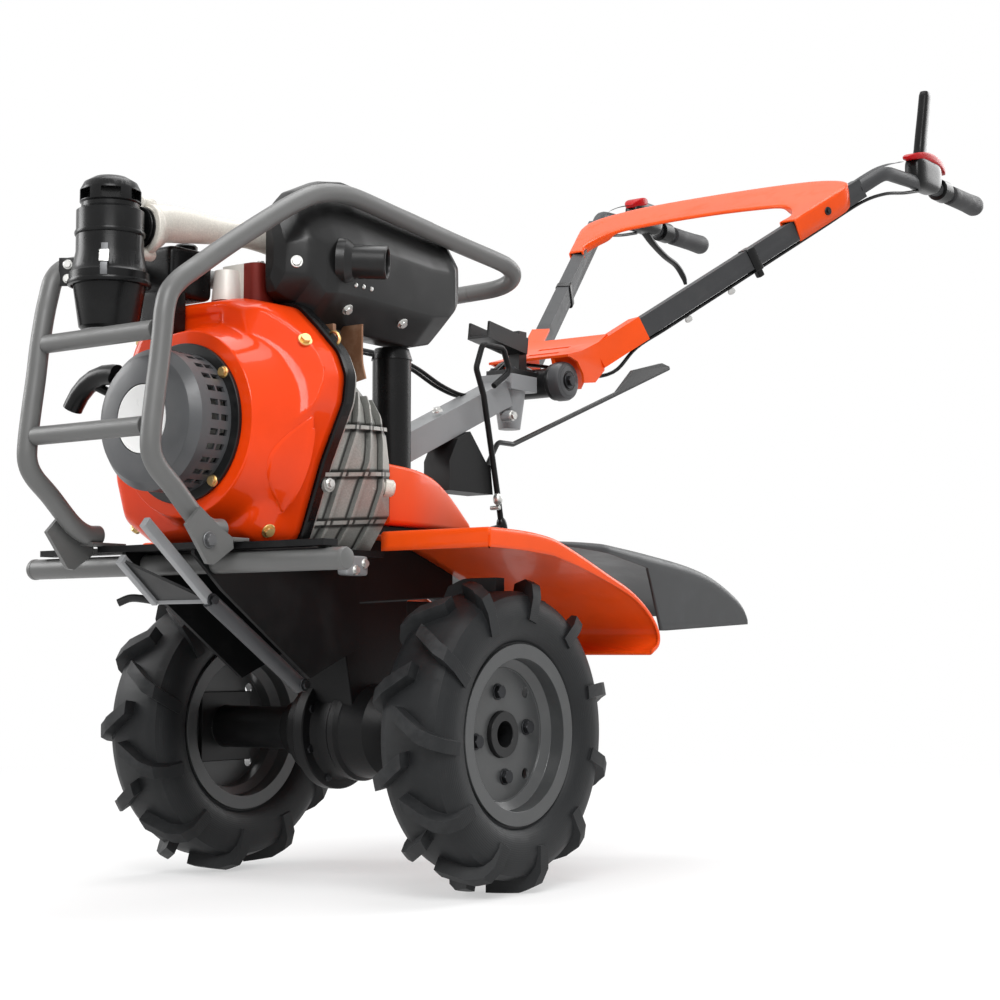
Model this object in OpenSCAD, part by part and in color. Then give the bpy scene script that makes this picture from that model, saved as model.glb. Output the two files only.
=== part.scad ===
// Walk-behind power tiller on two lugged transport wheels, with a diesel engine in front of
// the axle and an adjustable handlebar behind it. Millimetres, front towards -Y, up is +Z,
// the machine's left side towards +X. The origin is the middle of the overall box, on the ground.

/* [Wheels] */
// Diameter of a tyre over its lugs
tyre_d = 410; // [380:1:440]
// Width of a tyre over its lugs
tyre_w = 112; // [100:1:124]
// Height of the lugs above the carcass
lug_h = 17; // [10:1:22]
// Lugs on each side of a tyre
lugs_per_side = 11; // [9:1:13]
// Thickness of the tyre wall
tyre_wall = 9; // [6:0.5:12]
// Distance between the middles of the tyres
track = 490; // [470:1:520]
// Outer diameter of the rim flanges
rim_flange_d = 236; // [230:1:244]
// Diameter of the bead seat
bead_seat_d = 206; // [200:1:210]
// Width over the rim flanges
rim_w = 84; // [78:1:90]
// Thickness of the rim plate
rim_t = 4; // [3:0.5:6]
// Depth of the disc behind the outer flange
disc_recess = 32; // [26:1:38]
// Bolt circle of the free holes in the disc
vent_pcd = 152; // [148:1:156]
// Diameter of the free holes in the disc
vent_d = 14; // [10:1:16]

/* [Hubs] */
// Side of the square hub flange
hub_plate = 100; // [90:1:110]
// Thickness of the square hub flange
hub_plate_t = 8; // [6:1:12]
// Outer diameter of the hub tube
hub_tube_d = 60; // [52:1:66]
// Diameter of the open socket in the hub's outer end
socket_d = 34; // [28:1:40]
// Depth of that socket
socket_depth = 34; // [20:1:40]
// How far the hub stands out of the disc
hub_proud = 7; // [4:1:12]
// Diameter of the half shaft in its bearing
shaft_d = 30; // [26:1:34]
// Length of the half shaft inside its bearing
shaft_seat = 56; // [40:1:64]
// Radial running clearance of the half shaft
shaft_clear = 0.3; // [0.2:0.05:0.5]
// Gap between the hub tube and the bearing nose
hub_gap = 5; // [4:0.5:8]

/* [Gearbox] */
// Diameter of the round final-drive case
case_d = 122; // [110:1:130]
// Length of that case across the machine
case_w = 140; // [130:1:150]
// Diameter of the bolted split flange
split_d = 160; // [150:1:170]
// Thickness of the split flange
split_t = 16; // [12:1:20]
// Place of the split flange across the machine
split_x = -30; // [-36:1:-20]
// Diameter of the bearing noses
nose_d = 78; // [70:1:86]
// Distance of a nose's outer face from the middle
nose_x = 104; // [98:1:110]
// Width of the upright gear case
neck_w = 88; // [80:1:100]
// Width of the upper gearbox
upper_w = 116; // [106:1:122]
// Height of the upper gearbox top
upper_z = 486; // [480:1:496]

/* [Chassis] */
// Height of the engine bed's top
bed_z = 446; // [440:1:452]
// Thickness of the bed plate
bed_t = 8; // [6:1:10]
// Width of the bed plate
bed_w = 212; // [204:1:220]
// Front end of the bed
bed_front = -376; // [-380:1:-370]
// Thickness of the chassis side plates
plate_t = 6; // [4:1:8]
// Diameter of the front cross bar
bar_d = 27; // [24:1:30]
// Length of the front cross bar
bar_l = 552; // [520:1:580]

/* [Engine] */
// Height of the crankshaft
crank_z = 600; // [596:1:604]
// Width of the crankcase
case_x = 236; // [226:1:246]
// Width of the fan shroud
shroud_w = 304; // [292:1:316]
// Thickness of the shroud's sheet
shroud_t = 3; // [2:0.5:4]
// Diameter of the starter drum
drum_d = 178; // [170:1:184]
// Length of the starter drum
drum_l = 62; // [54:1:68]
// Slots round the starter drum
slot_count = 30; // [24:1:36]
// Diameter of the starter's clamping ring
ring_d = 204; // [198:1:210]
// Diameter of the air cleaner canister
cleaner_d = 98; // [90:1:102]
// Height of the air cleaner without its cap
cleaner_h = 154; // [148:1:162]
// Diameter of the intake pipe
intake_d = 44; // [40:1:48]
// Radius of the intake pipe's bends
intake_bend = 30; // [28:1:34]
// Length of the silencer
muffler_l = 318; // [300:1:330]
// Height of the silencer
muffler_h = 176; // [168:1:184]
// Thickness of the silencer's skin
muffler_t = 2.5; // [2:0.5:4]

/* [Guard] */
// Outer diameter of the guard tube
guard_d = 25; // [22:1:28]
// Radius of the guard tube's bends
guard_bend = 40; // [32:1:46]
// Distance between the middles of the guard's two sides
guard_w = 218; // [212:1:224]
// Front of the guard, at the tube's middle
guard_front = -478; // [-484:1:-472]
// Height of the guard's left shoulder
guard_shoulder = 712; // [700:1:720]
// Height of the guard's front top corner
guard_top = 914; // [908:1:924]

/* [Fenders] */
// Thickness of the fender sheet
fender_t = 4; // [3:0.5:5]
// Outer edge of the fenders from the middle
fender_x = 316; // [300:1:326]
// Depth of the fender's turned-down edges
fender_lip = 24; // [16:1:28]

/* [Handlebar] */
// Height of the handlebar's tilt axis
tilt_z = 733; // [726:1:740]
// Distance of the tilt axis behind the axle
tilt_y = 426; // [418:1:434]
// Diameter of the tilt barrel
barrel_d = 46; // [42:1:50]
// Distance between the middles of the grips
grip_span = 600; // [560:1:620]
// Distance of the grips' ends behind the axle
grip_end = 1464; // [1440:1:1480]
// Height of the grips
grip_z = 1166; // [1150:1:1180]
// Diameter of the grips
grip_d = 36; // [32:1:38]
// Length of the grips
grip_l = 120; // [105:1:130]
// Width of the handle tubes
tube_w = 22; // [18:1:26]
// Height of the handle tubes
tube_h = 34; // [30:1:38]

/* [Hidden] */
$fn = 48;

// Gap at which one piece is seated against another
seat_gap = 0.3;
axle_z = tyre_d / 2;
// Tyre for which the heights are given; a taller one lifts everything above the axle
rated_tyre_d = 410;
rise = tyre_d - rated_tyre_d;
guard_r = guard_d / 2;
rear_y = grip_end;
front_y = guard_front - 11.2 - guard_r;
mid_y = (rear_y + front_y) / 2;

// Vector helpers
function unit(v) = v / norm(v);
function any_normal(v) = abs(v[2]) < 0.9 ? unit(cross(v, [0, 0, 1])) : unit(cross(v, [1, 0, 0]));
function frame_matrix(ex, ey, ez, p) = [
    [ex[0], ey[0], ez[0], p[0]],
    [ex[1], ey[1], ez[1], p[1]],
    [ex[2], ey[2], ez[2], p[2]],
    [0, 0, 0, 1]
];
function turn(a, b) = acos(max(-1, min(1, a * b)));

module on_ground() translate([0, -mid_y, 0]) children();
module on_deck() translate([0, -mid_y, rise]) children();

// The left side is drawn and the right side is its mirror image
module on_side(side) mirror([side < 0 ? 1 : 0, 0, 0]) children();

// Local z along the axle, outwards; local x points down and local y to the rear
module on_wheel(side) on_side(side) translate([track / 2, 0, axle_z]) rotate([0, 90, 0]) children();

// A profile seen from the side (y to the rear, z up) made w wide across the machine from x0
module across(x0, w) translate([x0, 0, 0]) rotate([90, 0, 90]) linear_extrude(w) children();

// A straight rod between two points with any profile
module along(p, q) {
    ez = unit(q - p);
    ex = any_normal(ez);
    multmatrix(frame_matrix(ex, cross(ez, ex), ez, p)) linear_extrude(norm(q - p)) children();
}

module ring_profile(d, wall) difference() {
    circle(d = d);
    if (wall > 0) circle(d = d - 2 * wall);
}

// Centre line through the points with an arc of radius r at each inner corner
function corner_arc(p, a, b, r) =
    let (
        bend = turn(a, b),
        steps = max(1, ceil(bend / 15)),
        start = p - a * r * tan(bend / 2),
        centre = p + unit(b - a) * r / cos(bend / 2),
        ex = unit(start - centre)
    )
    [for (k = [0:steps]) centre + r * (ex * cos(k * bend / steps) + a * sin(k * bend / steps))];
function bent_route(pts, r) =
    let (last = len(pts) - 1, dirs = [for (i = [0:last - 1]) unit(pts[i + 1] - pts[i])])
    concat(
        [pts[0]],
        [for (i = [1:1:last - 1], p = corner_arc(pts[i], dirs[i - 1], dirs[i], r)) p],
        [pts[last]]
    );

// Round bar carried along the route, its ring turned as little as possible from point to point
function carried(n, t) = unit(n - t * (n * t));
module bent_bar(pts, r, d, sides = 16) {
    route = bent_route(pts, r);
    last = len(route) - 1;
    tangents = [for (i = [0:last]) unit(route[min(i + 1, last)] - route[max(i - 1, 0)])];
    normals = [
        for (i = 0, n = any_normal(tangents[0]); i <= last;
            n = carried(n, tangents[min(i + 1, last)]), i = i + 1) n
    ];
    points = [
        for (i = [0:last], j = [0:sides - 1])
            let (a = 360 * j / sides)
            route[i] + d / 2 * (normals[i] * cos(a) + cross(tangents[i], normals[i]) * sin(a))
    ];
    walls = [
        for (i = [0:last - 1], j = [0:sides - 1], half = [0, 1])
            let (p = i * sides + j, q = i * sides + (j + 1) % sides)
            half == 0 ? [p, p + sides, q] : [q, p + sides, q + sides]
    ];
    polyhedron(points, concat(
        [[for (j = [0:sides - 1]) j]], walls, [[for (j = [sides - 1:-1:0]) last * sides + j]]
    ));
}

// Tyre section: beads between the rim flanges, bulging walls and a nearly flat crown
carcass_r = tyre_d / 2 - lug_h;
bead_r = bead_seat_d / 2;
flange_r = rim_flange_d / 2;
bead_gap = 0.3;
bead_half = rim_w / 2 - rim_t - bead_gap;
wall_half = tyre_w / 2 - 3;
wall_h = carcass_r - flange_r;
function tyre_half(inset) = [
    [bead_r, bead_half - inset], [flange_r + 0.04 * wall_h, bead_half - inset],
    [flange_r + 0.13 * wall_h, wall_half - 7 - inset], [flange_r + 0.31 * wall_h, wall_half - 2 - inset],
    [flange_r + 0.51 * wall_h, wall_half - inset],
    [carcass_r - 0.26 * wall_h - inset / 2, wall_half - 3 - inset],
    [carcass_r - 0.1 * wall_h - inset, wall_half - 10 - inset],
    [carcass_r - 0.014 * wall_h - inset, wall_half - 24 - inset]
];
function tyre_section(inset) = concat(
    tyre_half(inset),
    [for (i = [len(tyre_half(inset)) - 1:-1:0]) [tyre_half(inset)[i][0], -tyre_half(inset)[i][1]]]
);

lug_root = carcass_r - 0.64 * wall_h;
lug_edge = tyre_w / 2;
module lug_envelope() rotate_extrude($fn = 72) polygon([
    [lug_root, -lug_edge], [tyre_d / 2 - 26, -lug_edge], [tyre_d / 2 - 8, -lug_edge + 8],
    [tyre_d / 2, -lug_edge + 26], [tyre_d / 2, lug_edge - 26], [tyre_d / 2 - 8, lug_edge - 8],
    [tyre_d / 2 - 26, lug_edge], [lug_root, lug_edge]
]);

// One slanted tread bar, from past the middle of the tread out over the shoulder
module lug() {
    lug_t = 17;
    rotate([90, 0, 0]) rotate([0, 90, 0]) translate([0, 0, lug_root])
        linear_extrude(tyre_d / 2 - lug_root + 4)
        polygon([
            [-4 - lug_t / 2, -6], [lug_t / 2 - 2, -6], [26 + lug_t / 2, 34], [34 + lug_t / 2, lug_edge + 2],
            [34 - lug_t / 2, lug_edge + 2], [24 - lug_t / 2, 36]
        ]);
}

module lugs() {
    pitch = 360 / lugs_per_side;
    intersection() {
        lug_envelope();
        union() for (i = [0:lugs_per_side - 1]) {
            rotate([0, 0, i * pitch]) lug();
            rotate([0, 0, (i + 0.5) * pitch]) mirror([0, 0, 1]) lug();
        }
    }
}

module tyre(side) color("#2b2d30") on_wheel(side) {
    difference() {
        union() {
            rotate_extrude($fn = 72) polygon(tyre_section(0));
            lugs();
        }
        rotate_extrude($fn = 72) polygon(tyre_section(tyre_wall));
    }
}

// Pressed rim: flanges, bead seats and well, with the flat disc set back from the outer flange
well_r = bead_r - 12;
disc_z = rim_w / 2 - disc_recess;
module rim(side) color("#4a4e52") on_wheel(side) difference() {
    union() {
        rotate_extrude($fn = 72) rim_profile();
        translate([0, 0, disc_z - rim_t]) cylinder(r = well_r - rim_t / 2, h = rim_t);
    }
    cylinder(d = hub_tube_d + 0.6, h = 2 * rim_w, center = true);
    for (a = [45:90:315]) rotate([0, 0, a]) translate([vent_pcd / 2, 0, disc_z - 2 * rim_t])
        cylinder(d = vent_d, h = 3 * rim_t);
}

module rim_profile() {
    seat_z = rim_w / 2 - rim_t;
    for (m = [0, 1]) mirror([0, m]) polygon([
        [flange_r, seat_z], [flange_r, rim_w / 2], [bead_r - rim_t, rim_w / 2 - 1],
        [bead_r - rim_t, seat_z - 18],
        [well_r - rim_t, seat_z - 26], [well_r - rim_t, -0.01], [well_r, -0.01], [well_r, seat_z - 24],
        [bead_r - bead_gap, seat_z - 16], [bead_r - bead_gap, seat_z]
    ]);
}

// Hub: square flange behind the disc, tube, and the half shaft that runs in the gearbox nose
hub_inner = nose_x + hub_gap - track / 2;
module hub(side) color("#26282b") on_wheel(side) difference() {
    union() {
        translate([-hub_plate / 2, -hub_plate / 2, disc_z - rim_t - hub_plate_t])
            cube([hub_plate, hub_plate, hub_plate_t]);
        translate([0, 0, hub_inner]) cylinder(d = hub_tube_d, h = disc_z + hub_proud - hub_inner);
        translate([0, 0, hub_inner - hub_gap - shaft_seat])
            cylinder(d = shaft_d, h = hub_gap + shaft_seat + 1);
    }
    translate([0, 0, disc_z + hub_proud - socket_depth]) cylinder(d = socket_d, h = socket_depth + 1);
}

// Final-drive case on the axle, upright gear case and upper gearbox, one bolted casting
module gearbox() color("#2a2c2e") difference() {
    union() {
        translate([-case_w / 2, 0, axle_z]) rotate([0, 90, 0]) cylinder(d = case_d, h = case_w);
        translate([split_x - split_t / 2, 0, axle_z]) rotate([0, 90, 0]) cylinder(d = split_d, h = split_t);
        for (s = [-1, 1]) on_side(s) {
            translate([case_w / 2 - 1, 0, axle_z]) rotate([0, 90, 0])
                cylinder(d1 = case_d - 14, d2 = nose_d, h = (nose_x - case_w / 2) / 2);
            translate([case_w / 2 - 1, 0, axle_z]) rotate([0, 90, 0])
                cylinder(d = nose_d, h = nose_x - case_w / 2 + 1);
        }
        across(-neck_w / 2, neck_w) polygon([
            [-46, axle_z], [46, axle_z], [64, rise + 330], [64, rise + 424],
            [-72, rise + 424], [-72, rise + 330]
        ]);
        translate([0, 0, rise]) across(-upper_w / 2, upper_w) polygon([
            [-96, bed_z - 70], [150, bed_z - 56], [150, upper_z - 16], [130, upper_z], [-50, upper_z],
            [-50, bed_z - 22], [-96, bed_z - 22]
        ]);
        translate([0, 62, rise + upper_z - 1]) cylinder(d = 66, h = 40);
    }
    for (s = [-1, 1]) on_side(s) translate([nose_x - shaft_seat - 4, 0, axle_z]) rotate([0, 90, 0])
        cylinder(d = shaft_d + 2 * shaft_clear, h = shaft_seat + 6);
}

// Engine bed and the plates under it that carry it on the gearbox
plate_x = upper_w / 2 + plate_t / 2;
bed_back = -62;
module chassis() color("#303336") difference() {
    union() {
        translate([-bed_w / 2, bed_front, bed_z - bed_t]) cube([bed_w, bed_back - bed_front, bed_t]);
        for (s = [-1, 1]) on_side(s) across(upper_w / 2, plate_t) polygon(concat(
            [[bed_front + 4, bed_z - bed_t], [bed_back, bed_z - bed_t], [bed_back, 318]],
            [for (y = [-160, -322]) [y, brace_z(y) + (brace_d / 2 + seat_gap) / cos(brace_tilt)]],
            [[bed_front + 4, 432]]
        ));
        translate([-upper_w / 2, -104, 330]) cube([upper_w, 8, bed_z - bed_t - 330]);
        for (s = [-1, 1]) on_side(s) translate([bed_w / 2 - 1, bar_y - 12, bed_z - bed_t])
            cube([strip_l, 26, bed_t]);
    }
    translate([-bar_l / 2, bar_y, bar_z]) rotate([0, 90, 0]) cylinder(d = bar_d + 2 * seat_gap, h = bar_l);
}

bar_y = -334;
strip_l = bar_l / 2 - bed_w / 2 - 24;
bar_z = bed_z - bed_t - 0.3 - bar_d / 2 - 2;
module front_bar() color("#55585b") translate([-bar_l / 2, bar_y, bar_z]) rotate([0, 90, 0])
    cylinder(d = bar_d, h = bar_l);

// Brace under the bed: two flat bars in front, a cross bar and a tube below the left side plate
brace_d = 27;
brace_top = [-452, 480];
brace_knee = [-342, 386];
brace_foot = [-176, 272];
brace_tilt = atan((brace_knee[1] - brace_foot[1]) / (brace_foot[0] - brace_knee[0]));
function brace_z(y) = brace_knee[1] - (y - brace_knee[0]) * tan(brace_tilt);
function side_point(x, p) = [x, p[0], p[1]];
module front_brace() color("#6a6d70") {
    for (x = [-plate_x, plate_x]) along(side_point(x, brace_top), side_point(x, brace_knee))
        square([10, 28], center = true);
    along(side_point(-plate_x, brace_knee), side_point(plate_x, brace_knee)) square([10, 24], center = true);
    across(-plate_x, 2 * plate_x) polygon([
        brace_top + [12, -14], brace_knee + [0, -4], brace_knee + [0, 2], brace_top + [12, -8]
    ]);
    along(side_point(plate_x, brace_knee), side_point(plate_x, brace_foot)) circle(d = brace_d);
}

// The guard's front uprights lean back a little; their feet stand on the bed
guard_lean = 7.3;
guard_low = 540;
foot_z = bed_z + guard_r + 2;
function upright_y(z) = guard_front - 14 + (z - guard_low) * tan(guard_lean);
foot_t = 6;
module guard_foot(x) {
    translate([x - guard_r, -392, bed_z]) cube([guard_d, 56, 5]);
    on_side(sign(x)) across(guard_w / 2 + guard_r - 1, foot_t) polygon([
        [-398, 412], [-372, 424], [-352, 440], [-352, bed_z + 6], [-372, 470], [-436, 518], [-458, 492]
    ]);
}

// Bent guard tube on the left: foot, front upright, slanted shoulder and top rail
module guard_left() color("#5b5e61") {
    x = guard_w / 2;
    bent_bar([
        [x, -386, foot_z], [x, upright_y(guard_low), guard_low],
        [x, upright_y(guard_shoulder), guard_shoulder],
        [x, -240, guard_top], [x, 224, guard_top - 40]
    ], guard_bend, guard_d);
    guard_foot(x);
}

// Bent guard tube on the right, which runs back past the air cleaner and round behind the silencer
module guard_right() color("#5b5e61") {
    x = guard_w / 2;
    bent_bar([
        [-x, -386, foot_z], [-x, upright_y(guard_low), guard_low], [-x, upright_y(798), 798],
        [-x, -300, 812], [-x, 224, guard_top - 74], [x - guard_r - seat_gap, 224, guard_top - 40]
    ], guard_bend, guard_d);
    guard_foot(-x);
}

module guard_bars() color("#5b5e61") for (z = [577, 693])
    translate([-guard_w / 2 + guard_r + seat_gap, upright_y(z), z]) rotate([0, 90, 0])
        cylinder(d = guard_d - 2, h = guard_w - guard_d - 2 * seat_gap);

// Outline of the fan shroud seen from the front (x, z): a shield, cut away low on the left
shroud_top = 768;
shroud_mid = [0, 606];
shroud_points = [
    [-110, bed_z + seat_gap], [-165, 480], [-185, 540], [-180, 650], [-150, 722], [-118, shroud_top],
    [36, shroud_top], [80, 757], [112, 728], [148, 692], [shroud_w / 2 + 9, 662], [157, 628], [121, 556],
    [86, 462], [72, bed_z + seat_gap]
];
function scaled_about(p, c, k) = c + k * (p - c);
module front_slab(points, y, t) translate([0, y, 0]) rotate([90, 0, 0]) linear_extrude(t) polygon(points);
module shroud_slab(k, y, t) front_slab([for (p = shroud_points) scaled_about(p, shroud_mid, k)], y, t);

// Engine casting lofted back from that outline, with a lattice of ribs, and the finned cylinder on top
case_back = -66;
case_front = -206;
head_z = 819;
head_w = 104;
muffler_at = [40, -232, 738];
head_left = muffler_at[0] - seat_gap;
case_tail = [
    [-case_x / 2 + 12, bed_z], [-case_x / 2, 480], [-case_x / 2, 590], [-90, 648], [80, 648],
    [case_x / 2 - 6, 600], [case_x / 2, 560], [case_x / 2, 494], [case_x / 2 - 34, bed_z]
];
module case_form(k) hull() {
    intersection() {
        shroud_slab(k * 0.95, case_front, 1);
        translate([-400, case_front - 4, bed_z]) cube([800, 8, 248]);
    }
    front_slab([for (p = case_tail) scaled_about(p, [0, bed_z], k)], case_back, 1);
}
module crankcase() color("#b9b4a8") {
    difference() {
        case_form(1);
        translate([-400, case_back - 40, bed_z - 1]) rotate([-38, 0, 0]) translate([0, 24, -60])
            cube([800, 80, 60]);
    }
    intersection() {
        case_form(1.06);
        union() {
            for (y = [-170, -134, -98]) translate([-300, y, bed_z]) cube([600, 5, 220]);
            for (z = [474, 536, 596]) translate([-300, -203, z]) rotate([4, 0, 0]) cube([600, 128, 5]);
        }
        translate([-400, case_front + 3, bed_z]) cube([800, 126, 200]);
    }
    translate([0, case_front, crank_z]) rotate([90, 0, 0]) cylinder(d = 230, h = 92);
    for (i = [0:4]) translate([head_left - head_w, -196, 712 + 22 * i]) cube([head_w, 128, 8]);
    translate([head_left - head_w + 12, -186, 640]) cube([head_w - 12, 108, head_z - 640]);
    rocker_cover();
    for (p = [[-188, 528], [-104, 530], [-146, 610], [-92, 570]]) translate([60, p[0], p[1]])
        rotate([0, 90, 0]) cylinder(d = 22, h = 60);
}

// Rocker cover in front of the head, with the tapered push-rod tower beside it
rocker_h = 50;
module rocker_cover() {
    translate([head_left - 70, -240, shroud_top + seat_gap]) linear_extrude(rocker_h)
        translate([12, 12]) offset(r = 12) square([44, 26]);
    translate([-6, -250, shroud_top + seat_gap]) cylinder(d1 = 40, d2 = 32, h = rocker_h - 10);
}

// Rounded sheet-metal shroud round the flywheel fan, open to the rear and at the starter
shroud_front = -330;
boss_r = 140;
boss_back = -266;
module shroud_form(inset) {
    k = 1 - inset / 150;
    hull() {
        shroud_slab(k, case_front - seat_gap + (inset > 0 ? 20 : 0), inset > 0 ? 62 : 44);
        shroud_slab(k * 0.84, -290 + inset, 2);
    }
    translate([0, boss_back, crank_z]) rotate([90, 0, 0])
        cylinder(r1 = boss_r - inset, r2 = boss_r - 20 - inset, h = boss_back - shroud_front - inset,
            $fn = 64);
}
module fan_shroud() color("#e2470f") difference() {
    shroud_form(0);
    shroud_form(shroud_t);
    translate([0, shroud_front + 20, crank_z]) rotate([90, 0, 0]) cylinder(d = drum_d - 24, h = 60);
}

// Slotted starter drum in front of the fan
ring_t = 6;
cap_d = 86;
cap_hole_d = 60;
drum_back = shroud_front - seat_gap - ring_t;
drum_front = drum_back - drum_l;
module fan_cover() color("#6c6f72") translate([0, drum_back, crank_z]) rotate([90, 0, 0]) difference() {
    union() {
        cylinder(d = drum_d, h = drum_l - 12);
        translate([0, 0, drum_l - 12]) cylinder(d1 = drum_d, d2 = drum_d - 22, h = 12);
    }
    translate([0, 0, -1]) cylinder(d = drum_d - 8, h = drum_l - 10);
    for (i = [0:slot_count - 1], row = [0, 1]) rotate([0, 0, i * 360 / slot_count])
        translate([drum_d / 2 - 8, -4, 5 + row * 16]) cube([16, 8, 13]);
    translate([0, 0, -1]) cylinder(d = cap_hole_d, h = drum_l + 2);
}

module fan_ring() color("#202224") translate([0, shroud_front - seat_gap, crank_z]) rotate([90, 0, 0])
    difference() {
        cylinder(d = ring_d, h = ring_t);
        translate([0, 0, -1]) cylinder(d = drum_d - 24, h = 8);
    }

module starter_cap() color("#e8e8e6") translate([0, drum_front, crank_z]) rotate([90, 0, 0]) {
    translate([0, 0, -8]) cylinder(d = cap_hole_d - 2 * seat_gap, h = 9);
    cylinder(d = cap_d, h = 5);
}

// Bowed starter grip beside the drum, with the stub of its rope
pull_y = drum_front + 14;
module pull_handle() color("#1d1e20") difference() {
    union() {
        bent_bar([
            [-148, pull_y, crank_z + 24], [-120, pull_y, crank_z + 70], [-64, pull_y, crank_z + 62]
        ], 74, 26, 14);
        along([-112, pull_y, crank_z + 54], [-66, drum_front + 40, crank_z + 28]) circle(d = 12);
    }
    translate([0, drum_back, crank_z]) rotate([90, 0, 0])
        cylinder(d = drum_d + 2 * seat_gap, h = drum_l + 40);
}

// Air cleaner canister: tapered cup, collar, body and a domed rain cap
cleaner_at = [-38, -424, 710];
cleaner_r = cleaner_d / 2;
cleaner_neck = cleaner_r - 7;
cap_windows = 6;
module air_cleaner() color("#202224") translate(cleaner_at) difference() {
    rotate_extrude() polygon([
        [0, 0], [cleaner_r - 16, 0], [cleaner_r - 12, 4], [cleaner_r - 4, 57], [cleaner_r + 1, 58],
        [cleaner_r + 1, 71], [cleaner_r - 2, 74], [cleaner_neck, 98], [cleaner_neck, cleaner_h - 4],
        [cleaner_r - 13, cleaner_h], [cleaner_r - 13, cleaner_h + 5], [cleaner_r - 11, cleaner_h + 7],
        [cleaner_r - 11, cleaner_h + 22], [cleaner_r - 16, cleaner_h + 32], [cleaner_r - 28, cleaner_h + 39],
        [0, cleaner_h + 42]
    ]);
    for (i = [0:cap_windows - 1]) rotate([0, 0, i * 360 / cap_windows - 42])
        translate([cleaner_r - 22, -12, cleaner_h + 8]) cube([20, 24, 13]);
}

pipe_z = head_z + 32;
module intake_pipe() color("#cfc9bb") bent_bar([
    cleaner_at + [0, cleaner_neck + seat_gap, 138], cleaner_at + [0, 88, 138], [0, -200, pipe_z],
    [0, -126, pipe_z], [0, -126, head_z + seat_gap]
], intake_bend, intake_d);

module fuel_tank() color("#232527") translate([-94, -330, shroud_top + seat_gap])
    cube([65, 94, pipe_z - intake_d / 2 - 6 - shroud_top]);

// Silencer box with cut corners, lower towards the guard tube, and an outlet stub on its left face
muffler_w = 78;
module muffler_form(inset) {
    l = muffler_l - inset;
    w = muffler_w - inset;
    h = muffler_h - inset;
    translate(muffler_at) intersection() {
        across(0, muffler_w) polygon([
            [inset, 33 + inset], [28 + inset, 33 + inset], [34 + inset, inset], [l - 54, inset],
            [l - 16, 12], [l, 42], [l, h - 50], [l - 20, h - 16], [16, h], [inset, h - 14]
        ]);
        translate([0, muffler_l, 0]) rotate([90, 0, 0]) linear_extrude(muffler_l) polygon([
            [inset, inset], [w - 34, inset], [w, 36], [w, h - 80], [w - 40, h - 6],
            [inset + 14, h], [inset, h - 14]
        ]);
        linear_extrude(muffler_h) polygon([
            [inset, inset], [w - 14, inset], [w, 42], [w, l - 12], [w - 12, l], [inset, l]
        ]);
    }
}
outlet_d = 40;
outlet_bore = 33;
outlet_l = 56;
outlet_at = muffler_at + [muffler_w - 3, 82, 80];
module muffler() color("#1f2123") {
    difference() {
        muffler_form(0);
        muffler_form(muffler_t);
    }
    difference() {
        translate(outlet_at) rotate([0, 90, 0]) cylinder(d = outlet_d, h = outlet_l);
        translate(outlet_at - [1, 0, 0]) rotate([0, 90, 0]) cylinder(d = outlet_bore, h = outlet_l + 2);
        translate(outlet_at + [outlet_l - 22, -50, -60]) rotate([0, 28, 0]) cube([90, 100, 120]);
    }
}

module heat_bracket() color("#7d5f4a") translate([78, -178, 700])
    cube([38, 6, muffler_at[2] - seat_gap - 700]);

filler_at = [50, 20, 560];
module filler_canister() color("#1f2123") {
    translate([filler_at[0] - 6, filler_at[1], upper_z]) cylinder(d = 24, h = filler_at[2] - upper_z);
    translate(filler_at) cylinder(d = 54, h = 158);
    translate(filler_at + [0, 0, 158]) cylinder(d1 = 58, d2 = 48, h = 16);
    translate(filler_at - [26, 18, 20]) cube([56, 38, 24]);
}

// Orange cover over the upper gearbox, open below
module cover_side(inset) polygon([
    [-24 + inset, upper_z], [186 - inset, upper_z], [176 - inset, 514 - inset], [156 - inset, 540 - inset],
    [128, 557 - inset], [86, 568 - inset], [-24 + inset, 574 - inset]
]);
module centre_cover() color("#e2470f") difference() {
    across(-64, 128) cover_side(0);
    difference() {
        across(-60, 120) cover_side(4);
        translate([-100, -100, 0]) cube([200, 50, 10]);
    }
    translate([0, 62, 400]) cylinder(d = 70, h = 220);
    translate(filler_at - [34, 32, 60]) cube([72, 64, 200]);
}

// Sheet over the wheel, flat in front and curling down behind, with turned-down outer and front edges
fender_in = upper_w / 2 + seat_gap;
fender_front = -104;
fender_line = [
    [fender_front, 470], [0, 467], [60, 456], [107, 440], [170, 419],
    [238, 393], [280, 364], [301, 340], [297, 320], [278, 308]
];
fender_lips = [fender_lip, fender_lip, 0.85 * fender_lip, 0.62 * fender_lip, 10, 7, 6, 6, 6, 6];
function sheet_outline(line, t) =
    concat(line, [for (i = [len(line) - 1:-1:0]) line[i] + t * line_normal(line, i)]);
function lip_outline(line, lips) =
    concat(line, [for (i = [len(line) - 1:-1:0]) line[i] + lips[i] * line_normal(line, i)]);
function line_normal(line, i) =
    let (d = unit(line[min(i + 1, len(line) - 1)] - line[max(i - 1, 0)])) [d[1], -d[0]];
module fender(side) color("#e2470f") on_side(side) difference() {
    union() {
        across(fender_in, fender_x - fender_in) polygon(sheet_outline(fender_line, fender_t));
        across(fender_x - fender_t, fender_t) polygon(lip_outline(fender_line, fender_lips));
        translate([fender_in, fender_front, fender_line[0][1] - fender_lip])
            cube([fender_x - fender_in, fender_t, fender_lip]);
    }
    translate([0, fender_front - 10, 300]) cube([case_x / 2 + 20, case_back + 8 - fender_front + 10, 300]);
}

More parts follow.
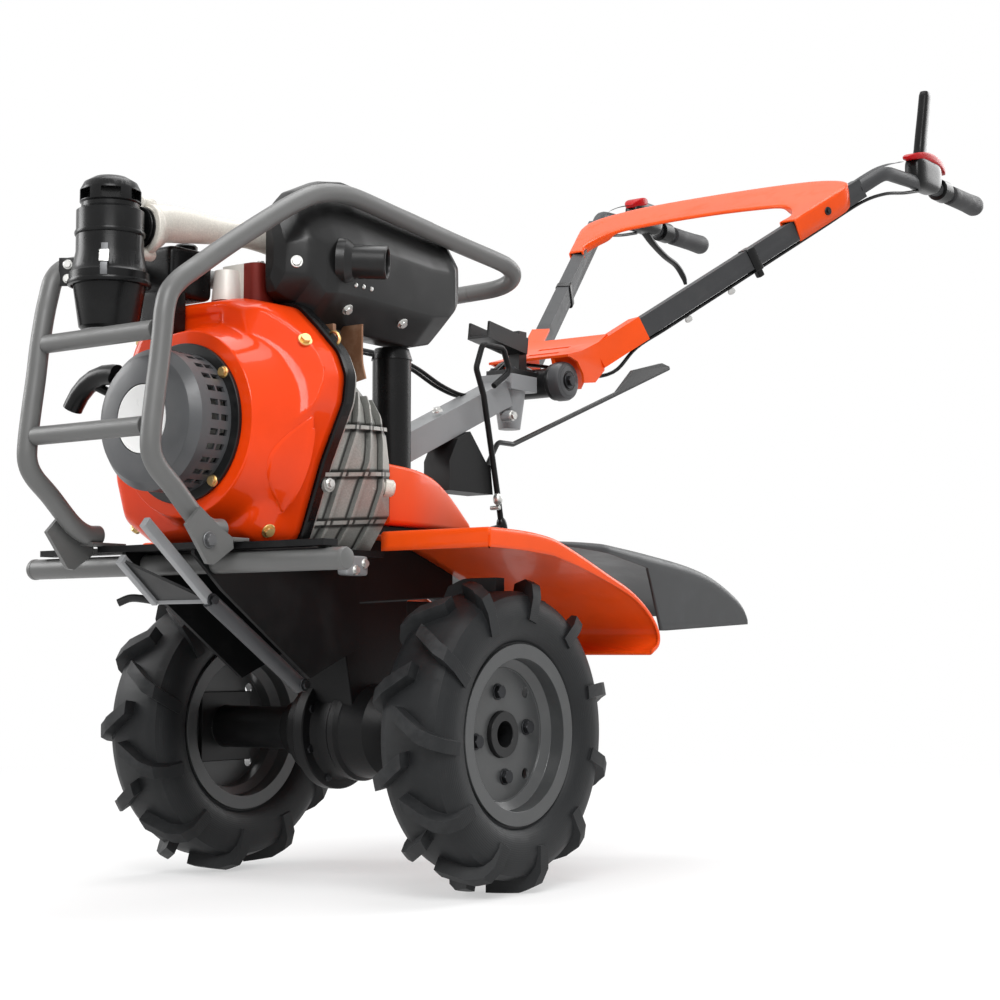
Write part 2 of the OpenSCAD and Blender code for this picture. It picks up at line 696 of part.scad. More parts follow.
// Black guard behind the fender: a sloping sheet with a skirt on its outer side
flap_x = 292;
flap_line = [
    fender_line[4] + [-4, 2.8], [204, 472], [224, 472], [284, 458], [409, 436], [516, 413], [574, 374]
];
module flap(side) color("#3a3c3f") on_side(side) {
    across(fender_in, flap_x - fender_in) polygon(sheet_outline(flap_line, fender_t));
    across(flap_x - fender_t, fender_t) polygon([
        [308, 453], flap_line[4], flap_line[5], flap_line[6], [580, 364], [570, 356], [345, 343], [312, 352]
    ]);
}

// Sloping arm from the gearbox to the handlebar head
arm_foot = [0, 62, 590];
arm_head = [0, 336, 708];
arm_h = 40;
arm_slope = (arm_head[2] - arm_foot[2]) / (arm_head[1] - arm_foot[1]);
head_y = 365;
head_z0 = 738;
head_back = tilt_y - barrel_d / 2 - 6;
boss_top = upper_z + 40;
function under_arm(y) =
    arm_foot[2] + (y - arm_foot[1]) * arm_slope - arm_h / 2 * sqrt(1 + arm_slope * arm_slope);
module column() color("#9a9c9d") difference() {
    union() {
        along(arm_foot, arm_head) square([44, arm_h], center = true);
        translate([0, 62, boss_top]) cylinder(d = 58, h = arm_foot[2] - boss_top);
        translate([0, head_y, head_z0 - 82]) cylinder(d1 = 34, d2 = 52, h = 66);
        translate([-30, head_y - 35, head_z0 - 24]) cube([60, head_back - head_y + 35, 24]);
    }
    translate([-60, head_y - 80, head_z0]) cube([120, 160, 60]);
}

// Gear selector: gate box under the arm, upright rod beside it and its lower link
gate_y = [176, 268];
gate_z = [548, 592];
rod_d = 9;
rod_x = 35;
module selector() color("#1f2123") {
    bent_bar([
        [rod_x, 300, 490], [rod_x, 288, 546], [rod_x, 253, 694], [rod_x, 234, 734], [rod_x, 250, 772],
        [rod_x, 302, 772], [rod_x, 318, 738], [rod_x, 278, 712]
    ], 11, rod_d, 12);
    across(rod_x - rod_d / 2 - 48, 48) polygon([
        [gate_y[0], gate_z[0]], [gate_y[1] + 14, gate_z[0]], [gate_y[1] + 8, gate_z[1]],
        [gate_y[1], gate_z[1]],
        [gate_y[0] + 50, under_arm(gate_y[0] + 50) - seat_gap],
        [gate_y[0] + 20, under_arm(gate_y[0] + 20) - seat_gap], [gate_y[0], gate_z[1]]
    ]);
    along([rod_x, 300, 497], [rod_x, 152.2, 464]) square([8, 16], center = true);
}

// Shift rod from the gate up to its flat thumb plate
rod_end = [10, 816, 803];
module shift_rod() color("#2a2c2e") {
    bent_bar([[10, gate_y[1] + 13.5, 576], [10, 322, 632], [10, 361, 632], rod_end], 14, 8, 8);
    across(rod_end[0] - 3, 6) polygon([
        [648, 742], [700, 786], [792, 809], [rod_end[1], rod_end[2] + 3], [rod_end[1], rod_end[2] - 3]
    ]);
}

// Rear tool hitch with its upright pin, and the drag stake that it parks on
hitch_pin_d = 18;
hitch_at = [0, 300, 330];
stake_y = 380;
module hitch() color("#2a2c2e") difference() {
    union() {
        across(-30, 60) polygon([[64, 332], [64, 384], [150, 384], [330, 360], [330, 300], [150, 300]]);
        translate([-24, 326, 296]) cube([48, 84, 68]);
    }
    translate(hitch_at - [0, 0, 100]) cylinder(d = hitch_pin_d, h = 200);
    translate([-13.3, stake_y - 13.3, 200]) cube([26.6, 26.6, 300]);
}
module drag_stake() color("#2f3134") {
    translate([-13, stake_y - 13, 10]) cube([26, 26, rise + 420]);
    translate([-30, stake_y - 40, 0]) cube([60, 80, 10]);
}

// Head on the arm: clamp post and the cross barrel that the handlebar tilts about
barrel_w = 84;
pin_d = 20;
pin_w = 128;
ear_t = 6;
ear_in = barrel_w / 2 + 0.5;
post_w = 20;
post_back = tilt_y - 29;
module handle_head() color("#1f2123") {
    translate([-26, head_y - 25, head_z0 + seat_gap]) cube([52, tilt_y - head_y + 25, 8]);
    translate([-post_w / 2, post_back - post_w, head_z0 + seat_gap + 7]) cube([post_w, post_w, 66]);
    translate([-barrel_w / 2, tilt_y, tilt_z]) rotate([0, 90, 0]) cylinder(d = barrel_d, h = barrel_w);
    translate([-pin_w / 2, tilt_y, tilt_z]) rotate([0, 90, 0]) cylinder(d = pin_d, h = pin_w);
    along([0, 286, 800], [0, post_back - post_w / 2, 786]) polygon([
        [-20, -14], [-16, -14], [-16, 8], [16, 8], [16, -14], [20, -14], [20, 12], [-20, 12]
    ]);
}

// Round clamp knobs on the ends of the tilt pin
module tilt_knob() color("#26282b") for (s = [-1, 1]) on_side(s)
    translate([ear_in + ear_t + 0.5, tilt_y, tilt_z]) rotate([0, 90, 0]) difference() {
        cylinder(d = barrel_d + 4, h = pin_w / 2 - ear_in - ear_t + 6);
        translate([0, 0, -1]) cylinder(d = pin_d + 2 * seat_gap, h = pin_w / 2 - ear_in - ear_t + 0.8);
    }

// Handle tubes: straight out and up from the yoke, then bent level to the grips
handle_root = [ear_in + ear_t + 14.2, 509, 779];
handle_top = [grip_span / 2, 1076, 1157];
handle_dir = unit(handle_top - handle_root);
grip_root = [grip_span / 2 + 4, grip_end - grip_l, grip_z];
handle_bend = 60;
bar_grip_d = 25;
handle_end = handle_top - 70 * handle_dir;
handle_route = [
    handle_end - 4 * handle_dir, handle_top, grip_root - [0, 60, 0], grip_root + [0, grip_l - 8, 0]
];
module handle(side) color("#3f4245") on_side(side) {
    along(handle_root, handle_end) square([tube_w, tube_h], center = true);
    bent_bar(handle_route, handle_bend, bar_grip_d);
}

// Angle cover on the top and the outer side of a handle tube, from a to b along it
cover_t = 4;
function tube_at(s) = handle_root + s * handle_dir;
module tube_cover(a, b, inner, drop) {
    w = tube_w / 2 + seat_gap;
    h = tube_h / 2 + seat_gap;
    along(tube_at(a), tube_at(b)) polygon([
        [-inner, -h - cover_t], [w + cover_t, -h - cover_t], [w + cover_t, drop], [w, drop],
        [w, -h], [-inner, -h]
    ]);
}

// Folded yoke that turns on the pin: a saddle over the barrel and two ears inside it, and on
// each tube a side plate and a cover
saddle_x = 77;
saddle_line = [
    [tilt_y - 12, tilt_z + 40], [tilt_y + 26, tilt_z + 50],
    [tilt_y + 74, tilt_z + 70], [tilt_y + 98, tilt_z + 86]
];
module yoke_side() polygon([
    [tilt_y - 6, tilt_z + 27], [tilt_y + 27, tilt_z - 6], [tilt_y + 66, tilt_z - 4],
    [tilt_y + 84, tilt_z + 20],
    [tilt_y + 76, tilt_z + 68], [tilt_y + 26, tilt_z + 48], [tilt_y - 10, tilt_z + 38]
]);
module side_plate() polygon([
    [tilt_y - 12, tilt_z + 38], [tilt_y + 14, tilt_z + 32], [tilt_y + 30, tilt_z + 14], [tilt_y + 33, tilt_z],
    [tilt_y + 64, tilt_z + 4], [tilt_y + 90, tilt_z + 26], [tilt_y + 90, tilt_z + 78],
    [tilt_y + 74, tilt_z + 68], [tilt_y + 26, tilt_z + 48]
]);
module yoke() color("#e2470f") difference() {
    union() {
        for (s = [-1, 1]) on_side(s) {
            translate([ear_in, tilt_y, tilt_z]) rotate([0, 90, 0]) cylinder(d = barrel_d + 10, h = ear_t);
            across(ear_in, ear_t) yoke_side();
            difference() {
                across(saddle_x - cover_t, cover_t) side_plate();
                along(tube_at(-seat_gap), tube_at(60))
                    square([tube_w + 2 * seat_gap, tube_h + 2 * seat_gap], center = true);
            }
            tube_cover(0, 102, tube_w / 2 + 4, tube_h / 2 + 2);
        }
        across(-saddle_x, 2 * saddle_x) polygon(sheet_outline(saddle_line, cover_t));
    }
    translate([-pin_w, tilt_y, tilt_z]) rotate([0, 90, 0]) cylinder(d = pin_d + 2 * seat_gap, h = 2 * pin_w);
    for (y = [26, 56]) translate([-30, tilt_y + y, tilt_z]) cube([60, 9, 120]);
}

// Cross plate: angle covers on both handle tubes and a sloping bridge between them
wing_a = 462;
wing_b = 574;
bridge_lift = (tube_h / 2 + seat_gap + cover_t) / norm([handle_dir[0], handle_dir[1]]) + 1;
function bridge_at(k) =
    let (p = tube_at(wing_a + 40 + k * (wing_b - wing_a - 32))) [p[1], p[2] + bridge_lift];
function plan_at(s, side) = [side * tube_at(s)[0], tube_at(s)[1]];
module cross_plate() color("#e2470f") {
    for (s = [-1, 1]) on_side(s) {
        tube_cover(wing_a, wing_b, tube_w / 2 + 8, 20);
    }
    intersection() {
        across(-grip_span / 2, grip_span) polygon(sheet_outline([bridge_at(0), bridge_at(1)], cover_t + 0.5));
        linear_extrude(2 * grip_z) polygon([
            plan_at(wing_a + 45, -1), plan_at(wing_a + 45, 1), plan_at(wing_b + 4, 1), plan_at(wing_b + 4, -1)
        ]);
    }
}

module grip(side) color("#1d1e20") on_side(side) along(grip_root, grip_root + [0, grip_l, 0])
    ring_profile(grip_d, (grip_d - bar_grip_d) / 2 - seat_gap);

// Control housing clamped on the bar in front of the grip
housing_at = [grip_span / 2 + 2, 1232, grip_z + 4];
module housing(side) difference() {
    union() {
        translate(housing_at - [19, 44, 28]) cube([38, 92, 52]);
        translate(housing_at + [-15, -30, 23]) cube([30, 70, 14]);
    }
    bent_bar(handle_route, handle_bend, bar_grip_d + 2 * seat_gap);
}

// Left control with an upright lever, right control with a hand lever under the grip
module left_lever() color("#1d1e20") {
    housing(1);
    along(housing_at + [0, -4, 34], housing_at + [0, 18, 168]) square([13, 17], center = true);
}
module right_lever() color("#1d1e20") on_side(-1) {
    housing(-1);
    bent_bar([
        housing_at + [0, 20, -25], housing_at + [0, 62, -50], housing_at + [0, 128, -66],
        housing_at + [0, 158, -96]
    ], 24, 11, 10);
}

on_ground() tyre(1);  // left_tyre
on_ground() tyre(-1);  // right_tyre
on_ground() rim(1);  // left_rim
on_ground() rim(-1);  // right_rim
on_ground() hub(1);  // left_hub
on_ground() hub(-1);  // right_hub
on_ground() gearbox();
on_deck() chassis();
on_deck() front_bar();
on_deck() front_brace();
on_deck() guard_left();
on_deck() guard_right();
on_deck() guard_bars();
on_deck() crankcase();
on_deck() fan_shroud();
on_deck() fan_cover();
on_deck() fan_ring();
on_deck() starter_cap();
on_deck() pull_handle();
on_deck() air_cleaner();
on_deck() intake_pipe();
on_deck() fuel_tank();
on_deck() muffler();
on_deck() heat_bracket();
on_deck() filler_canister();
on_deck() centre_cover();
on_deck() fender(1);  // left_fender
on_deck() fender(-1);  // right_fender
on_deck() flap(1);  // left_flap
on_deck() flap(-1);  // right_flap
on_deck() column();
on_deck() selector();
on_deck() shift_rod();
on_deck() hitch();
on_ground() drag_stake();
on_deck() handle_head();
on_deck() tilt_knob();
on_deck() yoke();
on_deck() handle(1);  // left_handle
on_deck() handle(-1);  // right_handle
on_deck() cross_plate();
on_deck() grip(1);  // left_grip
on_deck() grip(-1);  // right_grip
on_deck() left_lever();
on_deck() right_lever();
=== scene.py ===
"""Looks of a walk-behind power tiller: finishes for the CAD nodes, and the small parts that ride on them."""
import math

import bmesh
import bpy
import numpy as np
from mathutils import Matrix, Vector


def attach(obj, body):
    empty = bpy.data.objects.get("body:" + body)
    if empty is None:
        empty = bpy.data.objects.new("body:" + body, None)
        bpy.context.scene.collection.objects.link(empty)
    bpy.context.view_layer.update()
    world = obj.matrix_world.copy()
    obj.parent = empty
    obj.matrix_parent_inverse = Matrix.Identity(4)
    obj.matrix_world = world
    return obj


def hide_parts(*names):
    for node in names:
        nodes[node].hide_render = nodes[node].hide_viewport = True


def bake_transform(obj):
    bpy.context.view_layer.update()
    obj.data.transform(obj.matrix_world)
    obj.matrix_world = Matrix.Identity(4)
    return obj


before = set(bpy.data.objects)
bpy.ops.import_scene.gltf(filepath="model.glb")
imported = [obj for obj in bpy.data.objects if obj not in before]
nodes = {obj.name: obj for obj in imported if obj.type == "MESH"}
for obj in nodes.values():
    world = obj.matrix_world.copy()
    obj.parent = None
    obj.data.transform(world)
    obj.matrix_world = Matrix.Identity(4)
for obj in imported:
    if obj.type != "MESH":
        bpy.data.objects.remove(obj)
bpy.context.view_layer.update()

# Machine frame: millimetres from the axle's middle on the ground, as in the part's source
MID_Y = 481.15
AXLE_Z = 205.0
BED_TOP = 446.4
GEAR_TOP = 486.0
LEFT, BACK, UP = np.eye(3)
SIDES = {1: "left", -1: "right"}
FLIP = {side: np.array([side, 1.0, 1.0]) for side in SIDES}


def spots(rows):
    """Points given in the machine frame, in the row frame in metres."""
    return (np.array(rows, float) - [0.0, MID_Y, 0.0]) / 1000.0


def spot(*point):
    """The same for a single point."""
    return spots(point)


class Sock:
    """A shader socket. Arithmetic on it adds Math nodes to its finish."""

    def __init__(self, finish, out):
        self.finish, self.out = finish, out

    def maths(self, operation, *values):
        inputs = dict(enumerate(values))
        return self.finish.node("ShaderNodeMath", {"operation": operation}, inputs)

    def __add__(self, other):
        return self.maths("ADD", self, other)

    def __sub__(self, other):
        return self.maths("SUBTRACT", self, other)

    def __rsub__(self, other):
        return self.maths("SUBTRACT", other, self)

    def __mul__(self, other):
        return self.maths("MULTIPLY", self, other)

    def __pow__(self, other):
        return self.maths("POWER", self, other)

    __radd__ = __add__

    def step(self, low, high):
        """0 below low and 1 above high, with a smooth rise between them."""
        return self.finish.node("ShaderNodeMapRange", {"interpolation_type": "SMOOTHSTEP", "clamp": True},
                                {"Value": self, "From Min": low, "From Max": high})


class Finish:
    """A node material under construction, on Object coordinates, round one Principled shader."""

    def __init__(self, name, colour=(0.5, 0.5, 0.5), roughness=0.5, metallic=0.0, **fixed):
        self.material = bpy.data.materials.new(name)
        self.material.use_nodes = True
        self.tree = self.material.node_tree
        self.tree.nodes.clear()
        self.shader = self.tree.nodes.new("ShaderNodeBsdfPrincipled")
        self.end = self.tree.nodes.new("ShaderNodeOutputMaterial")
        self.tree.links.new(self.shader.outputs[0], self.end.inputs[0])
        self.place = self.node("ShaderNodeTexCoord", out="Object")
        self.set(base_color=colour, roughness=roughness, metallic=metallic, **fixed)

    def node(self, kind, settings=None, inputs=None, out=0):
        """Adds a node: its settings first, then the values or links of its sockets."""
        made = self.tree.nodes.new(kind)
        for key, value in (settings or {}).items():
            setattr(made, key, value)
        for key, value in (inputs or {}).items():
            self.put(made.inputs[key], value)
        return Sock(self, made.outputs[out])

    def put(self, socket, value):
        if isinstance(value, Sock):
            self.tree.links.new(value.out, socket)
        elif isinstance(value, (tuple, list)) and socket.type == "RGBA":
            socket.default_value = (*value[:3], 1.0)
        else:
            socket.default_value = value

    def set(self, **values):
        """Sets or links sockets of the shader, named in small letters."""
        for key, value in values.items():
            name = " ".join(w if w == "IOR" else w.capitalize() for w in key.split("_"))
            self.put(self.shader.inputs[name], value)
        return self

    def noise(self, scale, detail, rough=0.55):
        """Cloudy noise of 0 to 1, its size in features for each metre."""
        inputs = {"Vector": self.place, "Scale": scale, "Detail": detail, "Roughness": rough}
        return self.node("ShaderNodeTexNoise", None, inputs)

    def cells(self, scale):
        """Distance to the middle of the nearest random cell."""
        return self.node("ShaderNodeTexVoronoi", None, {"Vector": self.place, "Scale": scale}, "Distance")

    def moved(self, location):
        """Object coordinates shifted by a step."""
        return self.node("ShaderNodeMapping", None, {"Vector": self.place, "Location": location})

    def part(self, axis, place=None):
        """One coordinate, x, y or z."""
        return self.node("ShaderNodeSeparateXYZ", None, {0: place or self.place}, axis.upper())

    def mix(self, amount, first, second):
        """Colour between first and second by amount."""
        return self.node("ShaderNodeMix", {"data_type": "RGBA"}, {0: amount, 6: first, 7: second}, 2)

    def bump(self, height, strength, distance):
        """Relief in the light alone, its distance in metres."""
        inputs = {"Height": height, "Strength": strength, "Distance": distance}
        return self.set(normal=self.node("ShaderNodeBump", None, inputs))


DUST = (0.20, 0.195, 0.185)


def shade(colour, times, plus=0.0):
    """The colour made darker or lighter."""
    return tuple(min(1.0, c * times + plus) for c in colour)


def paint(name, colour, gloss, dust, peel=0.06, coat=0.0, chips=0.0, sheen=0.5):
    """Sprayed paint: slow colour drift, a film of dust in clouds, small chips, and orange peel in the gloss."""
    f = Finish(name, coat_roughness=0.06, specular_IOR_level=sheen)
    drift = f.noise(9.0, 3.0)
    film = f.noise(22.0, 6.0, 0.62).step(0.48, 0.78)
    speck = f.noise(310.0, 2.0).step(0.70, 0.80)
    body = f.mix(drift, shade(colour, 0.80), shade(colour, 1.10))
    body = f.mix(film * dust, body, DUST)
    body = f.mix(speck * chips, body, shade(colour, 0.35))
    f.set(base_color=body, roughness=gloss + film * 0.16 + speck * 0.05 + (drift - 0.5) * 0.06)
    if coat:
        f.set(coat_weight=coat - film * (0.5 * coat))
    return f.bump(f.noise(420.0, 2.0), peel, 0.0006).material


def cast(name, colour, rough, metallic, grain, stain=(0.10, 0.085, 0.07), also=None, sheen=0.3):
    """Sand-cast metal: pitted skin, darker in its pores, with oily stains in slow clouds."""
    f = Finish(name, metallic=metallic, specular_IOR_level=sheen)
    cloud = f.noise(14.0, 5.0, 0.6)
    pores = f.noise(520.0, 3.0, 0.7)
    oil = f.noise(6.5, 5.0, 0.65).step(0.55, 0.78)
    body = f.mix(cloud, shade(colour, 0.78), shade(colour, 1.14))
    body = f.mix(pores.step(0.62, 0.42) * 0.35, body, shade(colour, 0.5))
    body = f.mix(oil * 0.38, body, stain)
    body = also(f, body) if also else body
    f.set(base_color=body, roughness=rough + (cloud - 0.5) * 0.18 - oil * 0.12)
    return f.bump(pores * 0.6 + f.noise(150.0, 3.0) * 0.8, grain, 0.0009).material


def engine_marks(f, body):
    """Painted shade in the corners beside the ribs, where their shadows fall; the rocker box dark red and the push-rod
    tower cream, each by its place in metres."""
    x, y, z = f.part("x"), f.part("y") + MID_Y / 1000.0, f.part("z")
    slope = z - (y + 0.203) * 0.0699
    # Painted shade: a dark band on each side of every rib, below the head, standing in for the ribs' shadows
    rib_shade = z * 0.0
    for line, middles in ((y, (-0.1675, -0.1315, -0.0955)), (slope, (0.4765, 0.5385, 0.5985))):
        for middle in middles:
            off = line - middle
            off = off.maths("ABSOLUTE", off)
            rib_shade = rib_shade.maths("MAXIMUM", rib_shade, off.step(0.0021, 0.0030) * (1.0 - off.step(0.0050, 0.0085)))
    # The painted rib shade is mixed in here, in a near-black colour
    body = f.mix(rib_shade * (1.0 - z.step(0.652, 0.660)) * 0.9, body, (0.016, 0.015, 0.014))
    body = f.mix(z.step(0.7670, 0.7674) * (1.0 - y.step(-0.1972, -0.1965)), body, (0.150, 0.014, 0.009))
    east, north = x + 0.006, y + 0.250
    tower = 1.0 - ((east * east + north * north) ** 0.5).step(0.0228, 0.0232)
    return f.mix(tower * z.step(0.66, 0.67), body, (0.62, 0.60, 0.56))


def moulded(name, colour, rough, grain, sheen=0.5):
    """Moulded plastic: fine leather-like grain, rubbed and dusty in places."""
    f = Finish(name, specular_IOR_level=sheen)
    rub = f.noise(18.0, 5.0, 0.6)
    grit = f.cells(900.0)
    body = f.mix(rub.step(0.45, 0.80) * 0.5, colour, shade(colour, 1.9, 0.006))
    f.set(base_color=body, roughness=rough + (rub - 0.5) * 0.22)
    return f.bump(grit + f.noise(60.0, 2.0) * 0.3, grain, 0.0005).material


def bright(name, colour, rough, tint=None):
    """Plated steel: slight streaks, tarnish in clouds and a fine brushed tooth."""
    f = Finish(name, metallic=0.95)
    tarnish = f.noise(40.0, 5.0, 0.6)
    body = f.mix(tarnish.step(0.42, 0.80), colour, tint or shade(colour, 0.72))
    f.set(base_color=body, roughness=rough + tarnish * 0.18)
    return f.bump(f.noise(700.0, 2.0), 0.05, 0.0004).material


def tread_rubber(name, side):
    """Tyre rubber: bluish black, greyer where the ground scuffs it towards the tread, with fine mould lines."""
    f = Finish(name, specular_IOR_level=0.24)
    around = f.moved(tuple(-spot(side * 245.0, 0.0, AXLE_Z)))
    y, z = f.part("y", around), f.part("z", around)
    radius = (y * y + z * z) ** 0.5
    scuff = radius.step(0.180, 0.206) * f.noise(55.0, 5.0, 0.65).step(0.30, 0.72)
    cloud = f.noise(16.0, 5.0, 0.6)
    earth = f.noise(30.0, 6.0, 0.68).step(0.52, 0.80)
    body = f.mix(cloud, (0.0070, 0.0077, 0.0084), (0.0138, 0.0148, 0.0160))
    body = f.mix(scuff * 0.6, body, (0.032, 0.033, 0.034))
    body = f.mix(earth * 0.10, body, (0.060, 0.057, 0.053))
    f.set(base_color=body, roughness=0.43 + cloud * 0.14 + scuff * 0.14)
    rings = f.node("ShaderNodeMath", {"operation": "SINE"}, {0: radius * 2200.0})
    wall = radius.step(0.186, 0.176)
    return f.bump(rings * wall * 0.22 + f.noise(420.0, 3.0) * 0.5, 0.22, 0.0007).material


def soft_grip(name, colour):
    """Soft rubber of the grips: matt, a little shiny where hands rub it."""
    f = Finish(name)
    rub = f.noise(32.0, 4.0, 0.6)
    f.set(base_color=f.mix(rub, colour, shade(colour, 1.7)), roughness=0.62 - rub.step(0.5, 0.8) * 0.2)
    return f.bump(f.cells(1100.0), 0.16, 0.0006).material


def heat_tint(name):
    """Sheet steel browned and blued by heat."""
    f = Finish(name, metallic=0.55)
    heat = f.noise(28.0, 4.0, 0.6)
    stops = [(0.0, (0.085, 0.040, 0.022)), (0.45, (0.205, 0.098, 0.052)), (0.7, (0.33, 0.20, 0.13)),
             (1.0, (0.16, 0.10, 0.09))]
    tint = f.node("ShaderNodeValToRGB", None, {"Fac": heat}, "Color")
    ramp = tint.out.node.color_ramp.elements
    while len(ramp) < len(stops):
        ramp.new(0.5)
    for stop, (where, colour) in zip(ramp, stops):
        stop.position, stop.color = where, (*colour, 1.0)
    f.set(base_color=tint, roughness=0.42 + heat * 0.2)
    return f.bump(f.noise(260.0, 3.0), 0.12, 0.0006).material


finishes = {
    "orange": paint("orange_gloss_paint", (0.800, 0.076, 0.0060), 0.30, 0.03, 0.03, coat=0.14, sheen=0.12),
    "shroud": paint("orange_mirror_paint", (0.790, 0.050, 0.0022), 0.34, 0.02, 0.015, coat=0.42, sheen=0.05),
    "grey_tube": paint("grey_tube_paint", (0.100, 0.1005, 0.0985), 0.42, 0.08, 0.07, chips=0.35),
    "dark_tube": paint("dark_handle_paint", (0.044, 0.045, 0.047), 0.46, 0.05, 0.07, chips=0.3, sheen=0.16),
    "light_grey": paint("light_grey_paint", (0.235, 0.240, 0.247), 0.40, 0.16, chips=0.3),
    "black_metal": paint("satin_black_paint", (0.0075, 0.0078, 0.0083), 0.36, 0.04, chips=0.2, sheen=0.32),
    "chassis": paint("frame_black_paint", (0.0060, 0.0062, 0.0066), 0.44, 0.03, chips=0.2, sheen=0.16),
    "silencer": paint("silencer_black_enamel", (0.0085, 0.0086, 0.0088), 0.31, 0.02, 0.05, sheen=0.30),
    "rim": paint("rim_grey_paint", (0.052, 0.054, 0.055), 0.30, 0.10, chips=0.25),
    "drum": paint("starter_grey_paint", (0.066, 0.068, 0.072), 0.40, 0.10),
    "gear_cast": cast("black_gear_casting", (0.0048, 0.0049, 0.0053), 0.42, 0.0, 0.20, (0.006, 0.0055, 0.005),
                      sheen=0.16),
    "dark_grey": paint("brace_grey_paint", (0.034, 0.035, 0.038), 0.44, 0.06, chips=0.2),
    "alloy": cast("crankcase_alloy", (0.365, 0.368, 0.345), 0.50, 0.25, 0.30, (0.20, 0.19, 0.172), engine_marks),
    "sheet": cast("bright_sheet_metal", (0.40, 0.39, 0.37), 0.42, 0.6, 0.15),
    "cream": cast("cream_pipe_casting", (0.66, 0.63, 0.57), 0.42, 0.15, 0.22, (0.38, 0.33, 0.27)),
    "black_plastic": moulded("black_moulding", (0.0036, 0.0037, 0.0039), 0.27, 0.03, 0.20),
    "flap": moulded("flap_moulding", (0.024, 0.0252, 0.0268), 0.46, 0.14, 0.42),
    "pale": moulded("white_starter_disc", (0.80, 0.80, 0.79), 0.30, 0.04),
    "heat_steel": heat_tint("heat_tinted_steel"),
    "grip": soft_grip("grip_rubber", (0.013, 0.013, 0.014)),
    "gold": bright("yellow_zinc_plate", (0.72, 0.50, 0.20), 0.30, (0.50, 0.36, 0.20)),
    "zinc": bright("zinc_plate", (0.62, 0.62, 0.60), 0.30),
    "black_bolt": bright("black_oxide_steel", (0.040, 0.041, 0.044), 0.38),
    "grey_bolt": bright("grey_painted_bolt", (0.150, 0.152, 0.156), 0.42),
    "clear_clip": moulded("clear_clip_plastic", (0.42, 0.42, 0.41), 0.30, 0.05),
    "red": moulded("red_control_plastic", (0.36, 0.002, 0.004), 0.34, 0.03, 0.14),
    "left_tyre": tread_rubber("left_tyre_rubber", 1),
    "right_tyre": tread_rubber("right_tyre_rubber", -1),
}
node_finish = {
    "left_tyre": "left_tyre",
    "right_tyre": "right_tyre",
    "rim": "left_rim right_rim",
    "black_metal": "left_hub right_hub fan_ring shift_rod handle_head",
    "gear_cast": "gearbox",
    "chassis": "chassis selector hitch drag_stake",
    "grey_tube": "front_bar guard_left guard_right guard_bars",
    "light_grey": "front_brace column",
    "alloy": "crankcase",
    "orange": "fan_shroud centre_cover left_fender right_fender yoke cross_plate",
    "drum": "fan_cover",
    "pale": "starter_cap",
    "black_plastic": "pull_handle air_cleaner fuel_tank filler_canister tilt_knob left_lever right_lever",
    "cream": "intake_pipe",
    "silencer": "muffler",
    "heat_steel": "heat_bracket",
    "flap": "left_flap right_flap",
    "dark_tube": "left_handle right_handle",
    "grip": "left_grip right_grip",
}
for finish, group in node_finish.items():
    for name in group.split():
        nodes[name].data.materials.clear()
        nodes[name].data.materials.append(finishes[finish])

# Edges of the CAD nodes that stay in view, by the width in mm to which they are rounded
edge_round = {
    0.8: "fan_cover",
    1.0: "shift_rod guard_bars",
    1.2: "left_rim right_rim left_hub right_hub chassis fan_ring air_cleaner heat_bracket selector",
    1.4: "yoke",
    1.5: "front_bar starter_cap drag_stake",
    1.6: "crankcase",
    2.0: "filler_canister handle_head left_handle right_handle left_tyre right_tyre",
    2.5: "column hitch",
    3.0: "gearbox tilt_knob",
    6.0: "pull_handle",
}


def round_edges(node, width):
    """Welds a node, melts its flat triangles together and bevels the edges that are left."""
    mesh = node.data
    if "custom_normal" in mesh.attributes:
        mesh.attributes.remove(mesh.attributes["custom_normal"])
    mesh.polygons.foreach_set("use_smooth", np.ones(len(mesh.polygons), bool))
    weld = node.modifiers.new("weld", "WELD")
    weld.merge_threshold = 2e-5
    melt = node.modifiers.new("melt", "DECIMATE")
    melt.decimate_type = "DISSOLVE"
    melt.angle_limit = math.radians(0.6)
    soften = node.modifiers.new("soften", "BEVEL")
    soften.width = width / 1000.0
    soften.segments = 3 if width >= 2.0 else 2
    soften.limit_method = "ANGLE"
    soften.angle_limit = math.radians(34.0)
    soften.harden_normals = True


for width, group in edge_round.items():
    for name in group.split():
        round_edges(nodes[name], width)


# Shapes of added pieces: grids of points in machine millimetres
def quads(rows, columns, wrap_rows=False, wrap_columns=False):
    """Corner numbers of the squares of a grid of points, joined end to end where it wraps."""
    i, j = np.meshgrid(np.arange(rows - (not wrap_rows)), np.arange(columns - (not wrap_columns)), indexing="ij")
    k, m = (i + 1) % rows, (j + 1) % columns
    return np.stack([i * columns + j, k * columns + j, k * columns + m, i * columns + m], -1).reshape(-1, 4)


def shell(rings, loop=False, ends=True):
    """Skin over rings of points; the last ring meets the first in a loop, else both ends get a flat face."""
    rows, columns = rings.shape[:2]
    faces = quads(rows, columns, loop, True).tolist()
    if ends and not loop:
        faces += [list(range(columns)), list(range((rows - 1) * columns, rows * columns))]
    return rings.reshape(-1, 3), faces


def sheet(grid):
    """Open skin over a grid of points."""
    return grid.reshape(-1, 3), quads(*grid.shape[:2]).tolist()


def joined(shells):
    """Several skins as one."""
    starts = np.cumsum([0] + [len(v) for v, _ in shells])
    faces = [[c + int(at) for c in face] for at, (_, part) in zip(starts, shells) for face in part]
    return np.vstack([v for v, _ in shells]), faces


def unit(v):
    """Vectors of length one."""
    v = np.asarray(v, float)
    return v / np.linalg.norm(v, axis=-1, keepdims=True)


def axes(toward, near=(0.0, 0.0, 1.0)):
    """Side, up and forward axes for a direction, the up axis as close to near as it can be."""
    forward = unit(toward)
    if abs(forward @ np.asarray(near)) > 0.98:
        near = (0.0, 1.0, 0.0)
    side = unit(np.cross(near, forward))
    return np.stack([side, np.cross(forward, side), forward])


